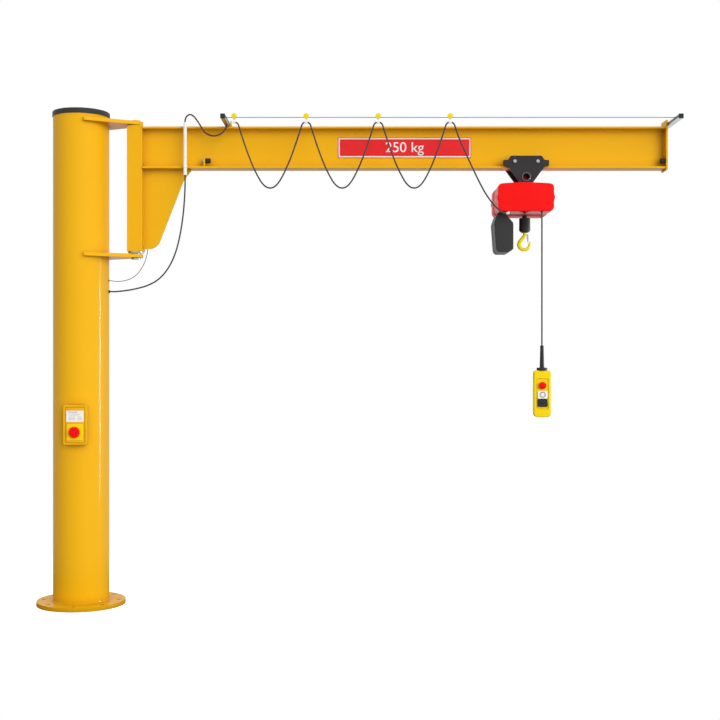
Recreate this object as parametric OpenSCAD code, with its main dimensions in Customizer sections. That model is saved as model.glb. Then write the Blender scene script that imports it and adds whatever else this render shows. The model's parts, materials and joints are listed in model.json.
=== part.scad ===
// Column-mounted slewing jib crane with an electric chain hoist.
// Millimetres. Origin: centre of the base flange's underside, on the floor.
// +X runs along the jib at rest, +Y to the rear, +Z up.

/* [Column] */
// Outer diameter of the column tube
column_d = 324; // [280:1:360]
// Wall thickness of the column tube
column_wall = 8; // [5:0.5:16]
// Height of the column tube's top edge above the floor
column_h = 2860; // [2700:10:3600]
// Height of the plastic cap above the tube
cap_h = 31; // [15:1:60]
// How far the cap stands out past the tube
cap_lip = 4; // [1:0.5:10]
// Diameter of the base flange
flange_d = 514; // [500:1:640]
// Thickness of the base flange
flange_t = 26; // [12:1:40]
// Pitch circle of the anchor holes
anchor_pcd = 440; // [410:1:450]
// Diameter of one anchor hole
anchor_hole_d = 26; // [18:1:32]
// Number of anchor holes
anchor_count = 8; // [4:1:12]

/* [Slewing bearing] */
// Distance from the column axis to the slewing axis
pivot_reach = 322; // [300:1:420]
// Thickness of each bracket plate
bracket_t = 21; // [12:1:30]
// Clear height between the two bracket plates
bracket_gap = 758; // [700:1:900]
// From the column's top edge down to the upper plate's top face
bracket_drop = 24; // [10:1:60]
// Width of the bracket plate across its two horns
bracket_w = 360; // [330:1:400]
// How far the horns stop in front of the column axis
horn_x = 56; // [30:1:80]
// Radius of the plate's nose around the pin
nose_r = 42; // [38:1:60]
// Diameter of the pivot pins
pin_d = 36; // [24:1:50]
// Outer width of the square slewing post
post_w = 90; // [80:1:120]
// Wall thickness of the slewing post
post_wall = 8; // [5:0.5:12]
// Diameter of the bright foot disc under the post
foot_d = 92; // [70:1:110]
// Thickness of the foot disc
foot_t = 9; // [6:1:16]
// Diameter of the thrust washer on the lower plate
thrust_d = 52; // [46:1:70]
// Thickness of the thrust washer
thrust_t = 6; // [3:1:12]
// Thickness of the upper washer
upper_washer_t = 3; // [2:0.5:8]

/* [Jib] */
// Length of the jib beam from the post to its end plate
beam_len = 3064; // [2700:1:3600]
// Height of the I-beam
beam_h = 244; // [200:1:300]
// Width of the I-beam's flanges
beam_w = 108; // [96:1:124]
// Thickness of the flanges
beam_flange_t = 11.5; // [8:0.5:16]
// Thickness of the web
beam_web_t = 7; // [5:0.5:12]
// Radius where web and flange meet
beam_root_r = 13; // [6:1:18]
// From the upper bracket plate down to the beam's top
beam_drop = 14; // [8:1:40]
// Height of the gusset plate under the beam
gusset_h = 469; // [350:1:560]
// Length of the gusset along the beam
gusset_l = 282; // [180:1:400]
// Thickness of the gusset
gusset_t = 10; // [6:1:16]
// Thickness of the end plate
end_plate_t = 10; // [6:1:16]
// Width of the end plate
end_plate_w = 120; // [100:1:160]
// How far the end plate stands above the beam
end_plate_up = 38; // [10:1:60]

/* [Cable line] */
// Width of the arms' rail section
arm_w = 26; // [20:1:40]
// How far the arms reach in front of the web
arm_reach = 300; // [260:1:360]
// Distance from the slewing post to the inner arm
arm_in_x = 487; // [440:1:600]
// Distance from the web to the guide wire
wire_y = 208; // [196:1:240]
// Diameter of the guide wire
wire_d = 4; // [3:0.5:6]
// Diameter of a cable roller
roller_d = 31; // [24:1:36]
// Diameter of the flexible cable
cable_d = 9; // [6:0.5:12]
// Distance between the cable hangers
hanger_pitch = 412; // [380:1:440]
// Outer diameter of the conduit on the beam
conduit_d = 21; // [16:1:26]

/* [Trolley] */
// Distance from the slewing post to the trolley's centre
trolley_in_x = 2245; // [2100:1:2400]
// Distance between the axles
wheel_base = 134; // [120:1:160]
// Diameter of a wheel's tread
wheel_d = 50; // [44:1:56]
// Diameter of a wheel's rim
rim_d = 76; // [70:1:80]
// Diameter of an axle bolt
axle_d = 14; // [10:1:18]
// Thickness of a side plate
side_plate_t = 8; // [6:1:12]
// Clear width between the side plates
side_plate_gap = 132; // [128:1:150]
// Outer diameter of the suspension tube
hanger_tube_d = 48; // [40:1:56]

/* [Hoist] */
// Width of the hoist body along the jib
hoist_w = 322; // [300:1:360]
// Depth of the hoist body across the jib
hoist_depth = 356; // [320:1:364]
// Height of the hoist body at its corners
hoist_h = 159; // [140:1:164]
// Rise of the crowned top
hoist_crown = 8; // [4:1:10]
// Diameter of the hook block
block_d = 66; // [56:1:76]
// Height of the hook block
block_h = 85; // [70:1:110]
// Diameter of the hook's shank
shank_d = 20; // [16:1:24]
// Radius of the hook's throat
throat_r = 20.5; // [18:0.5:24]
// Diameter of the chain's wire
chain_wire_d = 5; // [4:0.5:6]
// Pitch of the chain
chain_pitch = 15; // [14:0.5:20]

/* [Pendant] */
// Width of the pendant control
pendant_w = 100; // [90:1:120]
// Height of the pendant control
pendant_h = 268; // [240:1:300]
// Depth of the pendant control
pendant_depth = 46; // [40:1:60]
// Distance from the hoist's underside down to the pendant's collar
pendant_drop = 899; // [700:1:1000]

/* [Switch box] */
// Width of the switch box
box_w = 137; // [120:1:150]
// Height of the switch box
box_h = 229; // [200:1:260]
// Depth of the switch box
box_depth = 40; // [34:1:60]
// Height of the switch box's centre above the floor
box_z = 1063; // [900:1:1400]
// How far the switch box sits to the jib's side of the column axis
box_x = 11; // [0:1:20]
// Diameter of the rotary knob
knob_d = 66; // [50:1:76]

/* [Hidden] */
$fn = 48;

// Clearances
fit_gap = 0.05;        // running fit of a pin in its bore, on the radius
seat_gap = 0.3;        // between a moving piece and what carries it

// Heights of the slewing bearing and the jib
column_r = column_d / 2;
upper_z = column_h - bracket_drop - bracket_t;          // underside of the upper plate
lower_z = upper_z - bracket_gap;                        // top face of the lower plate
foot_z = lower_z + thrust_t + seat_gap;
post_z = foot_z + foot_t;
post_top = upper_z - upper_washer_t - seat_gap;
beam_top = upper_z - beam_drop;
beam_z = beam_top - beam_h;
rail_z = beam_z + beam_flange_t;                        // the wheels run on this face
beam_x = pivot_reach + post_w / 2;
beam_end = beam_x + beam_len;

// Colours
c_yellow = "#F0B425";
c_dark = "#3F3F40";
c_red = "#E8201C";
c_bright = "#C9CCCE";
c_black = "#1D1D1E";
c_white = "#E9E9E4";
c_signal = "#F2D21B";
c_rubber = "#2B2B2C";
c_cable = "#4A4A4C";

// ---- outlines ----
function unit(v) = v / norm(v);
function corner(a, b, c, r, n) =
    let (u = unit(a - b), v = unit(c - b), half = acos(u * v) / 2)
    r <= 0 || half > 89 ? [b] :
    let (centre = b + unit(u + v) * r / sin(half),
         d0 = unit(b + u * r / tan(half) - centre),
         d1 = unit(b + v * r / tan(half) - centre),
         sweep = 180 - 2 * half)
    [for (i = [0:n]) centre + r * (sin((1 - i / n) * sweep) * d0 + sin(i / n * sweep) * d1) / sin(sweep)];
// The outline through pts with each corner rounded to its own radius.
function rounded(pts, radii, n = 5) =
    let (m = len(pts))
    [for (i = [0:m - 1]) each corner(pts[(i + m - 1) % m], pts[i], pts[(i + 1) % m], radii[i], n)];
function rect(w, h) = [[-w / 2, -h / 2], [w / 2, -h / 2], [w / 2, h / 2], [-w / 2, h / 2]];

// A flat outline in X and Z, given a thickness across Y and centred on y.
module plate_xz(pts, t, y = 0) translate([0, y + t / 2, 0]) rotate([90, 0, 0]) linear_extrude(t)
    polygon(pts);
// A cylinder along Y, centred on y.
module rod_y(d, l, y = 0) translate([0, y + l / 2, 0]) rotate([90, 0, 0]) cylinder(d = d, h = l);
// A cylinder along X from x = 0.
module rod_x(d, l) rotate([0, 90, 0]) cylinder(d = d, h = l);

// ---- cords ----
function tangent(p, i) = unit(p[min(i + 1, len(p) - 1)] - p[max(i - 1, 0)]);
// A closed tube along p. Its rings keep one direction across all of them.
module tube(p, d, sides = 8, across = [0, 1, 0]) {
    rings = [for (i = [0:len(p) - 1])
        let (t = tangent(p, i), u = unit(cross(t, across)), v = cross(t, u))
        for (k = [0:sides - 1]) p[i] + d / 2 * (cos(360 * k / sides) * u + sin(360 * k / sides) * v)];
    last = (len(p) - 1) * sides;
    polyhedron(rings, concat(
        [[for (k = [0:sides - 1]) k]],
        [[for (k = [sides - 1:-1:0]) last + k]],
        [for (i = [0:len(p) - 2]) for (k = [0:sides - 1])
            let (a = i * sides, b = a + sides, m = (k + 1) % sides) [a + k, b + k, b + m, a + m]]));
}

// Routes of the cords, each from its own level: [x, y, height above that level].
// Supply cable and earth wire, from the lower plate's top face
supply_route = [[158, 0, -219], [180, 0, -219], [205, -2, -219], [250, -6, -215], [295, -12, -209],
    [335, -18, -201], [375, -24, -191], [413, -30, -177], [450, -37, -157], [485, -44, -128],
    [513, -50, -95], [540, -55, -51], [562, -60, -1], [579, -64, 53], [592, -67, 109], [602, -69, 165],
    [610, -71, 223], [616, -72, 283], [620, -72, 343], [622, -72, 403], [622, -72, 443],
    [622, -72, 470]];
earth_route = [[158, 0, -155], [176, 0, -155], [194, 0, -158], [215, 0, -159], [240, 0, -157],
    [262, 0, -153], [284, 0, -146], [306, 0, -135], [328, 0, -118], [346, 0, -96], [360, 0, -73],
    [372, 0, -49], [381, 0, -23], [388, 0, 3], [391, 0, 20], [391, 0, 30]];
// Cable out of the conduit to the inner arm, from the beam's top
riser_route = [[622, -72, 7], [622, -72, 27], [625, -72, 43], [633, -73, 56], [646, -74, 64],
    [659, -76, 63], [671, -78, 55], [682, -81, 44], [693, -84, 29], [704, -87, 13], [715, -90, -5],
    [727, -93, -24], [741, -96, -44], [766, -99, -59], [790, -100, -64], [814, -100, -61],
    [838, -100, -49], [855, -100, -32], [864, -100, -15], [867, -100, -5], [867, -100, -0.3]];
// One festoon loop as half its span, from its lowest point up to the clip, and where the loops lie
loop_half = [[0, -377], [22, -371], [45, -350], [68, -314], [92, -266], [118, -204], [143, -135],
    [165, -68], [178, -28], [185, -9], [190, -1], [197, -1]];
loop_x = 1128;
loop_pitch = 412;
loop_count = 3;
// The festoon's last stretch, from the last clip down to the hoist, from the clips' level
last_run = [[2167, -208, -1], [2173, -208, -1], [2178, -208, -9], [2185, -208, -28], [2200, -208, -69],
    [2216, -208, -108], [2236, -208, -154], [2258, -208, -203], [2282, -208, -254], [2307, -208, -307],
    [2332, -207, -357], [2358, -206, -404], [2386, -203, -445], [2416, -198, -479], [2442, -190, -502],
    [2460, -175, -514], [2474, -168, -518], [2484, -168, -518]];
function raised(route, z) = [for (p = route) p + [0, 0, z]];

// ================= column =================
module anchor_circle() {
    for (i = [0:anchor_count - 1]) rotate(i * 360 / anchor_count) translate([anchor_pcd / 2, 0, 0])
        children();
}

module base_flange() color(c_yellow) difference() {
    cylinder(d = flange_d, h = flange_t, $fn = 96);
    anchor_circle() translate([0, 0, -1]) cylinder(d = anchor_hole_d, h = flange_t + 2);
}

// The cable and the earth wire leave the column this far below the lower bracket plate.
supply_exit_drop = 219;
earth_exit_drop = 155;
supply_exit_z = lower_z - supply_exit_drop;
earth_exit_z = lower_z - earth_exit_drop;
exit_d = 14;
module column_tube() color(c_yellow) difference() {
    translate([0, 0, flange_t]) cylinder(r = column_r, h = column_h - flange_t, $fn = 96);
    translate([0, 0, flange_t + 1]) cylinder(r = column_r - column_wall, h = column_h, $fn = 96);
    for (z = [supply_exit_z, earth_exit_z]) translate([0, 0, z]) rod_x(exit_d, column_r + 10);
}

cap_plug_h = 30;
cap_edge_r = 6;
cap_skirt_t = 4;
cap_play = 0.5;
module column_cap() color(c_dark) {
    translate([0, 0, column_h]) rotate_extrude($fn = 96) polygon([[0, 0], [column_r + cap_lip, 0],
        [column_r + cap_lip, cap_h - cap_edge_r],
        [column_r + cap_lip - cap_edge_r * 0.3, cap_h - cap_edge_r * 0.3],
        [column_r + cap_lip - cap_edge_r, cap_h], [0, cap_h]]);
    translate([0, 0, column_h - cap_plug_h]) difference() {
        cylinder(r = column_r - column_wall - cap_play, h = cap_plug_h, $fn = 96);
        translate([0, 0, -1])
            cylinder(r = column_r - column_wall - cap_play - cap_skirt_t, h = cap_plug_h - cap_skirt_t,
            $fn = 96);
    }
}

// A plate that grips the column between two horns and narrows to the pin.
taper = atan((bracket_w / 2 - nose_r) / (pivot_reach - horn_x));
module bracket_plate() difference() {
    linear_extrude(bracket_t) polygon(concat(
        [[horn_x, -bracket_w / 2]],
        [for (a = [-90 + taper:(180 - 2 * taper) / 12:90 - taper])
            [pivot_reach + nose_r * cos(a), nose_r * sin(a)]],
        [[horn_x, bracket_w / 2]]));
    translate([0, 0, -1]) cylinder(r = column_r + fit_gap, h = bracket_t + 2, $fn = 96);
    translate([pivot_reach, 0, -1]) cylinder(r = pin_d / 2 + fit_gap, h = bracket_t + 2);
}
module bracket_plates() color(c_yellow) {
    translate([0, 0, upper_z]) bracket_plate();
    translate([0, 0, lower_z - bracket_t]) bracket_plate();
}

pin_bite = 40;          // how far each pin reaches into the post
pin_head_d = 54;
pin_head_t = 8;
retainer_gap = 2;
upper_washer_d = 72;
collar_d = pin_d + 6;
module pivot_pins() color(c_bright) translate([pivot_reach, 0, 0]) {
    // upper pin: low head above the plate, washer below it
    translate([0, 0, upper_z - pin_bite]) cylinder(d = pin_d, h = pin_bite + bracket_t);
    translate([0, 0, upper_z + bracket_t]) cylinder(d = pin_head_d, h = pin_head_t);
    translate([0, 0, upper_z - upper_washer_t]) cylinder(d = upper_washer_d, h = upper_washer_t);
    // lower pin: thrust washer on the plate, retaining disc below it
    translate([0, 0, lower_z - bracket_t - retainer_gap]) cylinder(d = pin_d, h = bracket_t + pin_bite);
    translate([0, 0, lower_z]) cylinder(d = thrust_d, h = thrust_t);
    translate([0, 0, lower_z - bracket_t - retainer_gap]) cylinder(d = collar_d, h = retainer_gap);
    translate([0, 0, lower_z - bracket_t - retainer_gap - pin_head_t])
        cylinder(d = pin_head_d, h = pin_head_t);
}

box_back = column_r + 3;
box_front = box_back + box_depth;
box_corner_r = 14;
box_rim = 11;           // width of the raised rim around the front
box_recess = 1.5;       // depth of the front inside the rim
saddle_w = 90;
saddle_h = 160;
module switch_box() color(c_yellow) translate([box_x, 0, box_z]) {
    difference() {
        plate_xz(rounded(rect(box_w, box_h), [for (i = [0:3]) box_corner_r]), box_depth,
            -box_back - box_depth / 2);
        plate_xz(rounded(rect(box_w - 2 * box_rim, box_h - 2 * box_rim), [for (i = [0:3]) box_corner_r / 2]),
            2 * box_recess, -box_front);
    }
    // saddle against the round column
    difference() {
        translate([-saddle_w / 2, -box_back, -saddle_h / 2]) cube([saddle_w, 30, saddle_h]);
        translate([-box_x, 0, -saddle_h]) cylinder(r = column_r + fit_gap, h = 2 * saddle_h, $fn = 96);
    }
}

plate_side = 93;
plate_t = 3;
plate_drop = 41;        // centre of the switch plate below the box's centre
plate_z = box_z - plate_drop;
panel_y = box_front - box_recess;
label_w = 99;
label_h = 64;
label_t = 1;
label_up = 50;          // centre of the label above the box's centre
shaft_d = 12;
module switch_plate() {
    color(c_signal) translate([box_x, 0, plate_z]) difference() {
        plate_xz(rounded(rect(plate_side, plate_side), [5, 5, 5, 5]), plate_t, -panel_y - plate_t / 2);
        rod_y(shaft_d + 0.4, 6 * plate_t, -panel_y);
    }
    color(c_white) translate([box_x, 0, box_z + label_up])
        plate_xz(rect(label_w, label_h), label_t, -panel_y - label_t / 2);
}

knob_base_t = 6;
knob_grip_w = 16;
knob_h = 24;
module rotary_knob() color(c_red) translate([box_x, -panel_y - plate_t - seat_gap, plate_z]) {
    rod_y(knob_d, knob_base_t, -knob_base_t / 2);
    intersection() {
        translate([-knob_grip_w / 2, -knob_h, -knob_d / 2])
            cube([knob_grip_w, knob_h - knob_base_t + 1, knob_d]);
        rod_y(knob_d - knob_base_t, 2 * knob_h, 0);
    }
    rod_y(shaft_d, plate_t + seat_gap, (plate_t + seat_gap) / 2);
}

// A bush through the column wall, with a collar outside and a bore for its cable.
module column_gland(z, collar_d, collar_l, bore) translate([column_r - column_wall - 2, 0, z])
    difference() {
    union() {
        rod_x(exit_d - 0.4, column_wall + 4);
        translate([column_wall + 2, 0, 0]) rod_x(collar_d, collar_l);
    }
    translate([-1, 0, 0]) rod_x(bore + 0.4, 30);
}
module column_glands() color(c_rubber) {
    column_gland(supply_exit_z, 18, 6, cable_d);
    column_gland(earth_exit_z, 14, 2, wire_d);
}

module supply_cable() color(c_cable) tube(raised(supply_route, lower_z), cable_d);
module earth_wire() color(c_cable) tube(raised(earth_route, lower_z), wire_d);

// ================= jib =================
module pivot_post() color(c_yellow) translate([pivot_reach, 0, 0]) difference() {
    translate([-post_w / 2, -post_w / 2, post_z]) cube([post_w, post_w, post_top - post_z]);
    translate([-post_w / 2 + post_wall, -post_w / 2 + post_wall, post_z + pin_bite])
        cube([post_w - 2 * post_wall, post_w - 2 * post_wall, post_top - post_z - 2 * pin_bite]);
    translate([0, 0, post_z - 1]) cylinder(r = pin_d / 2 + fit_gap, h = post_top - post_z + 2);
}

module post_foot() color(c_bright) translate([pivot_reach, 0, foot_z]) difference() {
    cylinder(d = foot_d, h = foot_t);
    translate([0, 0, -1]) cylinder(r = pin_d / 2 + fit_gap, h = foot_t + 2);
}

// The I-section as seen along the beam, from its underside up.
beam_half = rounded([[0, 0], [beam_w / 2, 0], [beam_w / 2, beam_flange_t], [beam_web_t / 2, beam_flange_t],
    [beam_web_t / 2, beam_h / 2], [0, beam_h / 2]], [0, 0.8, 1.5, beam_root_r, 0, 0]);
beam_side = [for (p = beam_half) if (p[0] > 0) p];
module jib_beam() color(c_yellow) translate([beam_x, 0, beam_z]) rotate([90, 0, 90])
    linear_extrude(beam_len)
    polygon(concat(beam_side,
        [for (i = [len(beam_side) - 1:-1:0]) [beam_side[i][0], beam_h - beam_side[i][1]]],
        [for (p = beam_side) [-p[0], beam_h - p[1]]],
        [for (i = [len(beam_side) - 1:-1:0]) [-beam_side[i][0], beam_side[i][1]]]));

gusset_foot = 30;       // straight bottom edge before the large corner
gusset_lip = 7;         // straight edge at its outer end
gusset_notch = 68;      // height of the concave run-out under the beam
gusset_curve = 50;      // how far the foot's large corner carries it outward
gusset_runout = 46;     // length of the run-out
module gusset_plate() color(c_yellow) translate([beam_x, 0, beam_z]) plate_xz(
    rounded([[0, 0], [0, -gusset_h], [gusset_foot + gusset_curve, -gusset_h],
        [gusset_l - gusset_runout, -gusset_notch], [gusset_l, -gusset_lip], [gusset_l, 0]],
        [0, 0, 70, 60, 0, 0], 8), gusset_t);

end_plate_down = 10;
module beam_end_plate() color(c_yellow) difference() {
    translate([beam_end, -end_plate_w / 2, beam_z - end_plate_down])
        cube([end_plate_t, end_plate_w, beam_h + end_plate_down + end_plate_up]);
    both_sides() translate([beam_end - 1, -stop_y, stop_z]) rod_x(stop_bolt_d, end_plate_t + 2);
}

stop_y = 39;            // buffer axis, out from the web
stop_z = rail_z + 33.5;  // buffer axis, above the running face
stop_start = 360;       // from the beam's inner end to the inner stop plate
stop_x = beam_x + stop_start;
stop_t = 9;
stop_w = 30;
stop_h = 50;
buffer_d = 31;
buffer_l = 31;
stop_bolt_d = 8;
bolt_head_d = 15;
bolt_head_h = 6;
module both_sides() { children(); mirror([0, 1, 0]) children(); }
module end_stops() both_sides() {
    color(c_yellow) difference() {
        translate([stop_x, -stop_y - stop_w / 2, rail_z]) cube([stop_t, stop_w, stop_h]);
        translate([stop_x - 1, -stop_y, stop_z]) rod_x(stop_bolt_d, stop_t + 2);
    }
}
module stop_buffer(x, dir, head_x) translate([x, -stop_y, stop_z]) {
    color(c_rubber) mirror([dir < 0 ? 1 : 0, 0, 0]) rod_x(buffer_d, buffer_l);
    color(c_bright) mirror([dir < 0 ? 0 : 1, 0, 0]) {
        rod_x(stop_bolt_d - 4 * fit_gap, head_x);
        translate([head_x, 0, 0]) rotate([0, 90, 0]) cylinder(d = bolt_head_d, h = bolt_head_h, $fn = 6);
    }
}
module stop_buffers() both_sides() {
    stop_buffer(stop_x + stop_t, 1, stop_t);
    stop_buffer(beam_end, -1, end_plate_t);
}

arm_t = 3;
arm_slot = 10;
arm_h = 24;             // height of the rail
arm_back = beam_w / 2;
arm_in = beam_x + arm_in_x;
arm_out = beam_end + end_plate_t;
wire_up = 21;           // the wire lies this far above the beam
wire_z = beam_top + wire_up;
arm_cap_t = 4;
arm_cap_lip = 0.5;      // the end caps stand out past the rail
arm_cap_down = 3;
// A C-rail along Y from its corner, with its slot towards +X.
module arm_rail(len_y) rotate([90, 0, 0]) linear_extrude(len_y) polygon([
    [0, 0], [arm_w, 0], [arm_w, (arm_h - arm_slot) / 2], [arm_w - arm_t, (arm_h - arm_slot) / 2],
    [arm_w - arm_t, arm_t], [arm_t, arm_t], [arm_t, arm_h - arm_t], [arm_w - arm_t, arm_h - arm_t],
    [arm_w - arm_t, (arm_h + arm_slot) / 2], [arm_w, (arm_h + arm_slot) / 2], [arm_w, arm_h], [0, arm_h]]);
module wire_arms() color(c_bright) difference() {
    union() {
        translate([arm_in, arm_back, beam_top]) arm_rail(arm_back + arm_reach);
        translate([arm_out + arm_w, end_plate_w / 2, beam_top]) mirror([1, 0, 0])
            arm_rail(end_plate_w / 2 + arm_reach);
    }
    for (x = [arm_in, arm_out]) translate([x - 1, -wire_y, wire_z]) rod_x(wire_d + 2 * fit_gap, arm_w + 2);
}

module arm_end_caps() color(c_black) for (x = [arm_in, arm_out])
    translate([x - arm_cap_lip, -arm_reach - arm_cap_t, beam_top - arm_cap_down])
        cube([arm_w + 2 * arm_cap_lip, arm_cap_t, arm_h + arm_cap_lip + arm_cap_down]);

// The taut wire, its end nuts outside the arms.
nut_d = 10;
nut_h = 6;
wire_tail = 8;          // how far the wire stands out past each arm
module guide_wire() color(c_bright) translate([0, -wire_y, wire_z]) {
    translate([arm_in - wire_tail, 0, 0]) rod_x(wire_d, arm_out + arm_w - arm_in + 2 * wire_tail);
    for (x = [arm_in - nut_h, arm_out + arm_w]) translate([x, 0, 0]) rotate([0, 90, 0])
        cylinder(d = nut_d, h = nut_h, $fn = 6);
}

// Cable hangers: two straps from the roller's pin down to a clip that holds the cable.
roller_core_d = 13;
roller_z = wire_z + wire_d / 2 + seat_gap + roller_core_d / 2;
roller_w = 9;
roller_rim_t = 1.2;
roller_pin_d = 4;
strap_t = 1.5;
strap_w = 8;
strap_gap = roller_w + 2;        // clear width between the straps
clip_w = 18;
clip_h = 14;
clip_slot = 12;                  // the two cable ends lie side by side in it
clip_drop = 26.4;                // from the guide wire down to the clips
clip_z = wire_z - clip_drop;
hanger_start = 555;              // from the beam's inner end to the first hanger
hanger_x = beam_x + hanger_start;
module hanger(x) translate([x, -wire_y, 0]) {
    color(c_bright) {
        for (s = [-1, 1]) translate([-strap_w / 2, s * (strap_gap + strap_t) / 2 - strap_t / 2, clip_z])
            cube([strap_w, strap_t, roller_z - clip_z + strap_w / 2 + 1]);
        translate([0, 0, roller_z]) rod_y(roller_pin_d, strap_gap + 3 * strap_t);
    }
    color(c_white) difference() {
        translate([-clip_w / 2, -strap_gap / 2, clip_z - clip_h / 2]) cube([clip_w, strap_gap, clip_h]);
        translate([-clip_slot / 2, -strap_gap, clip_z + clip_h / 2 - 2])
            cube([clip_slot, 2 * strap_gap, 3]);
    }
}
module roller(x) color(c_signal) translate([x, -wire_y, roller_z]) rotate([90, 0, 0]) difference() {
    rotate_extrude() polygon([[0, -roller_w / 2], [roller_d / 2, -roller_w / 2],
        [roller_d / 2, -roller_w / 2 + roller_rim_t], [roller_core_d / 2, -wire_d / 2 - 0.6],
        [roller_core_d / 2, wire_d / 2 + 0.6], [roller_d / 2, roller_w / 2 - roller_rim_t],
        [roller_d / 2, roller_w / 2], [0, roller_w / 2]]);
    cylinder(r = roller_pin_d / 2 + fit_gap, h = roller_w + 2, center = true);
}
module fixed_hanger() {
    hanger(hanger_x);
    difference() {
        roller(hanger_x);
        translate([hanger_x - roller_d, -wire_y, wire_z]) rod_x(wire_d + 2 * fit_gap, 2 * roller_d);
    }
}
module cable_hanger_1() hanger(hanger_x + hanger_pitch);
module cable_hanger_2() hanger(hanger_x + 2 * hanger_pitch);
module cable_hanger_3() hanger(hanger_x + 3 * hanger_pitch);
module cable_roller_1() roller(hanger_x + hanger_pitch);
module cable_roller_2() roller(hanger_x + 2 * hanger_pitch);
module cable_roller_3() roller(hanger_x + 3 * hanger_pitch);

conduit_start = 255;    // from the beam's inner end to the conduit
conduit_x = beam_x + conduit_start;
conduit_y = 72;
conduit_drop = 44;
conduit_up = 21;
conduit_bush = 16;      // length of the bush at each end of the conduit
conduit_wall = 2;
conduit_l = beam_h + conduit_drop + conduit_up;
clip_block_w = 14;
module conduit() color(c_white) translate([conduit_x, -conduit_y, beam_z - conduit_drop]) {
    difference() {
        cylinder(d = conduit_d, h = conduit_l);
        translate([0, 0, conduit_bush])
            cylinder(d = conduit_d - 2 * conduit_wall, h = conduit_l - 2 * conduit_bush);
        translate([0, 0, -1]) cylinder(r = cable_d / 2 + seat_gap, h = conduit_l + 2);
    }
    // saddle blocks on the flange edges
    for (z = [conduit_drop, conduit_drop + beam_h - beam_flange_t])
        translate([-clip_block_w / 2, conduit_d / 2 - 1, z])
            cube([clip_block_w, conduit_y - beam_w / 2 - conduit_d / 2 + 1, beam_flange_t]);
}
module riser_cable() color(c_cable) tube(raised(riser_route, beam_top), cable_d);

module festoon_cable() color(c_cable) {
    loop = concat([for (i = [len(loop_half) - 1:-1:0]) [-loop_half[i][0], loop_half[i][1]]],
        [for (i = [1:len(loop_half) - 1]) loop_half[i]]);
    for (k = [0:loop_count - 1])
        tube([for (p = loop) [loop_x + k * loop_pitch + p[0], -wire_y, clip_z + p[1]]], cable_d);
    tube(raised(last_run, clip_z), cable_d);
}

// ================= trolley =================
trolley_x = beam_x + trolley_in_x;
axle_z = rail_z + seat_gap + wheel_d / 2;
plate_in = side_plate_gap / 2;
ear_x = 132.5;
ear_reach = 36;         // bent ends come in to this distance from the web
ear_top = 8;
ear_clear = 5;          // the ears end this far above the running face
plate_side_pts = [[-34, -130], [34, -130], [110, -27], [ear_x, -27], [ear_x, ear_top], [107, ear_top],
    [90, 33], [-90, 33], [-107, ear_top], [-ear_x, ear_top], [-ear_x, -27], [-110, -27]];
tube_drop = 90;
tube_z = axle_z - tube_drop;
tube_boss = 8;          // how far the bosses round the suspension tube stand out past it
boss_h = 3;
module trolley_plates() both_sides() color(c_dark) translate([trolley_x, 0, axle_z]) difference() {
    union() {
        plate_xz(rounded(plate_side_pts, [12, 12, 10, 4, 4, 8, 12, 12, 8, 4, 4, 10]), side_plate_t,
            -plate_in - side_plate_t / 2);
        for (s = [-1, 1]) translate([s * (ear_x - side_plate_t / 2) - side_plate_t / 2,
                -plate_in - side_plate_t / 2, rail_z + ear_clear - axle_z])
            cube([side_plate_t, plate_in + side_plate_t / 2 - ear_reach,
                ear_top - rail_z - ear_clear + axle_z]);
        translate([0, 0, tube_z - axle_z])
            rod_y(hanger_tube_d + tube_boss, side_plate_t + boss_h,
                -plate_in - (side_plate_t + boss_h) / 2);
    }
    for (s = [-1, 1]) translate([s * wheel_base / 2, 0, 0]) rod_y(axle_d + 2 * fit_gap, 3 * side_plate_gap);
    translate([0, 0, tube_z - axle_z]) rod_y(hanger_tube_d + 2 * fit_gap, 3 * side_plate_gap);
}

wheel_in = 30;          // inner face of a wheel, out from the web
axle_head_d = 20;
axle_head_h = 7;
axle_tip = 5;           // how far an axle stands out inside its wheel
axle_collar_t = 4;
module trolley_axles() color(c_bright) both_sides() for (s = [-1, 1])
    translate([trolley_x + s * wheel_base / 2, 0, axle_z]) {
    rod_y(axle_d, plate_in + side_plate_t - wheel_in + axle_tip,
        -(plate_in + side_plate_t + wheel_in - axle_tip) / 2);
    rod_y(axle_head_d, axle_head_h, -plate_in - side_plate_t - axle_head_h / 2);
    rod_y(axle_d + 6, axle_collar_t, -wheel_in + seat_gap + axle_collar_t / 2);
}

rim_in = beam_w / 2 + 2.5;
rim_t = 5;
module wheel(s, side) color(c_bright) translate([trolley_x + s * wheel_base / 2, 0, axle_z])
    mirror([0, side > 0 ? 1 : 0, 0]) rotate([90, 0, 0]) difference() {
        rotate_extrude() polygon([[0, wheel_in], [wheel_d / 2 - 2, wheel_in], [wheel_d / 2, wheel_in + 2],
            [wheel_d / 2, rim_in - 1], [rim_d / 2 - 2, rim_in], [rim_d / 2, rim_in + 2],
            [rim_d / 2, rim_in + rim_t], [axle_d / 2 + 5, rim_in + rim_t],
            [axle_d / 2 + 5, plate_in - seat_gap], [0, plate_in - seat_gap]]);
        cylinder(r = axle_d / 2 + fit_gap, h = 2 * side_plate_gap);
    }
module wheel_1() wheel(-1, -1);
module wheel_2() wheel(1, -1);
module wheel_3() wheel(-1, 1);
module wheel_4() wheel(1, 1);

tube_wall = 7;
module suspension_tube() color(c_dark) translate([trolley_x, 0, tube_z]) difference() {
    rod_y(hanger_tube_d, side_plate_gap + 2 * (side_plate_t + boss_h));
    rod_y(hanger_tube_d - 2 * tube_wall, 2 * side_plate_gap);
}

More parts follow.
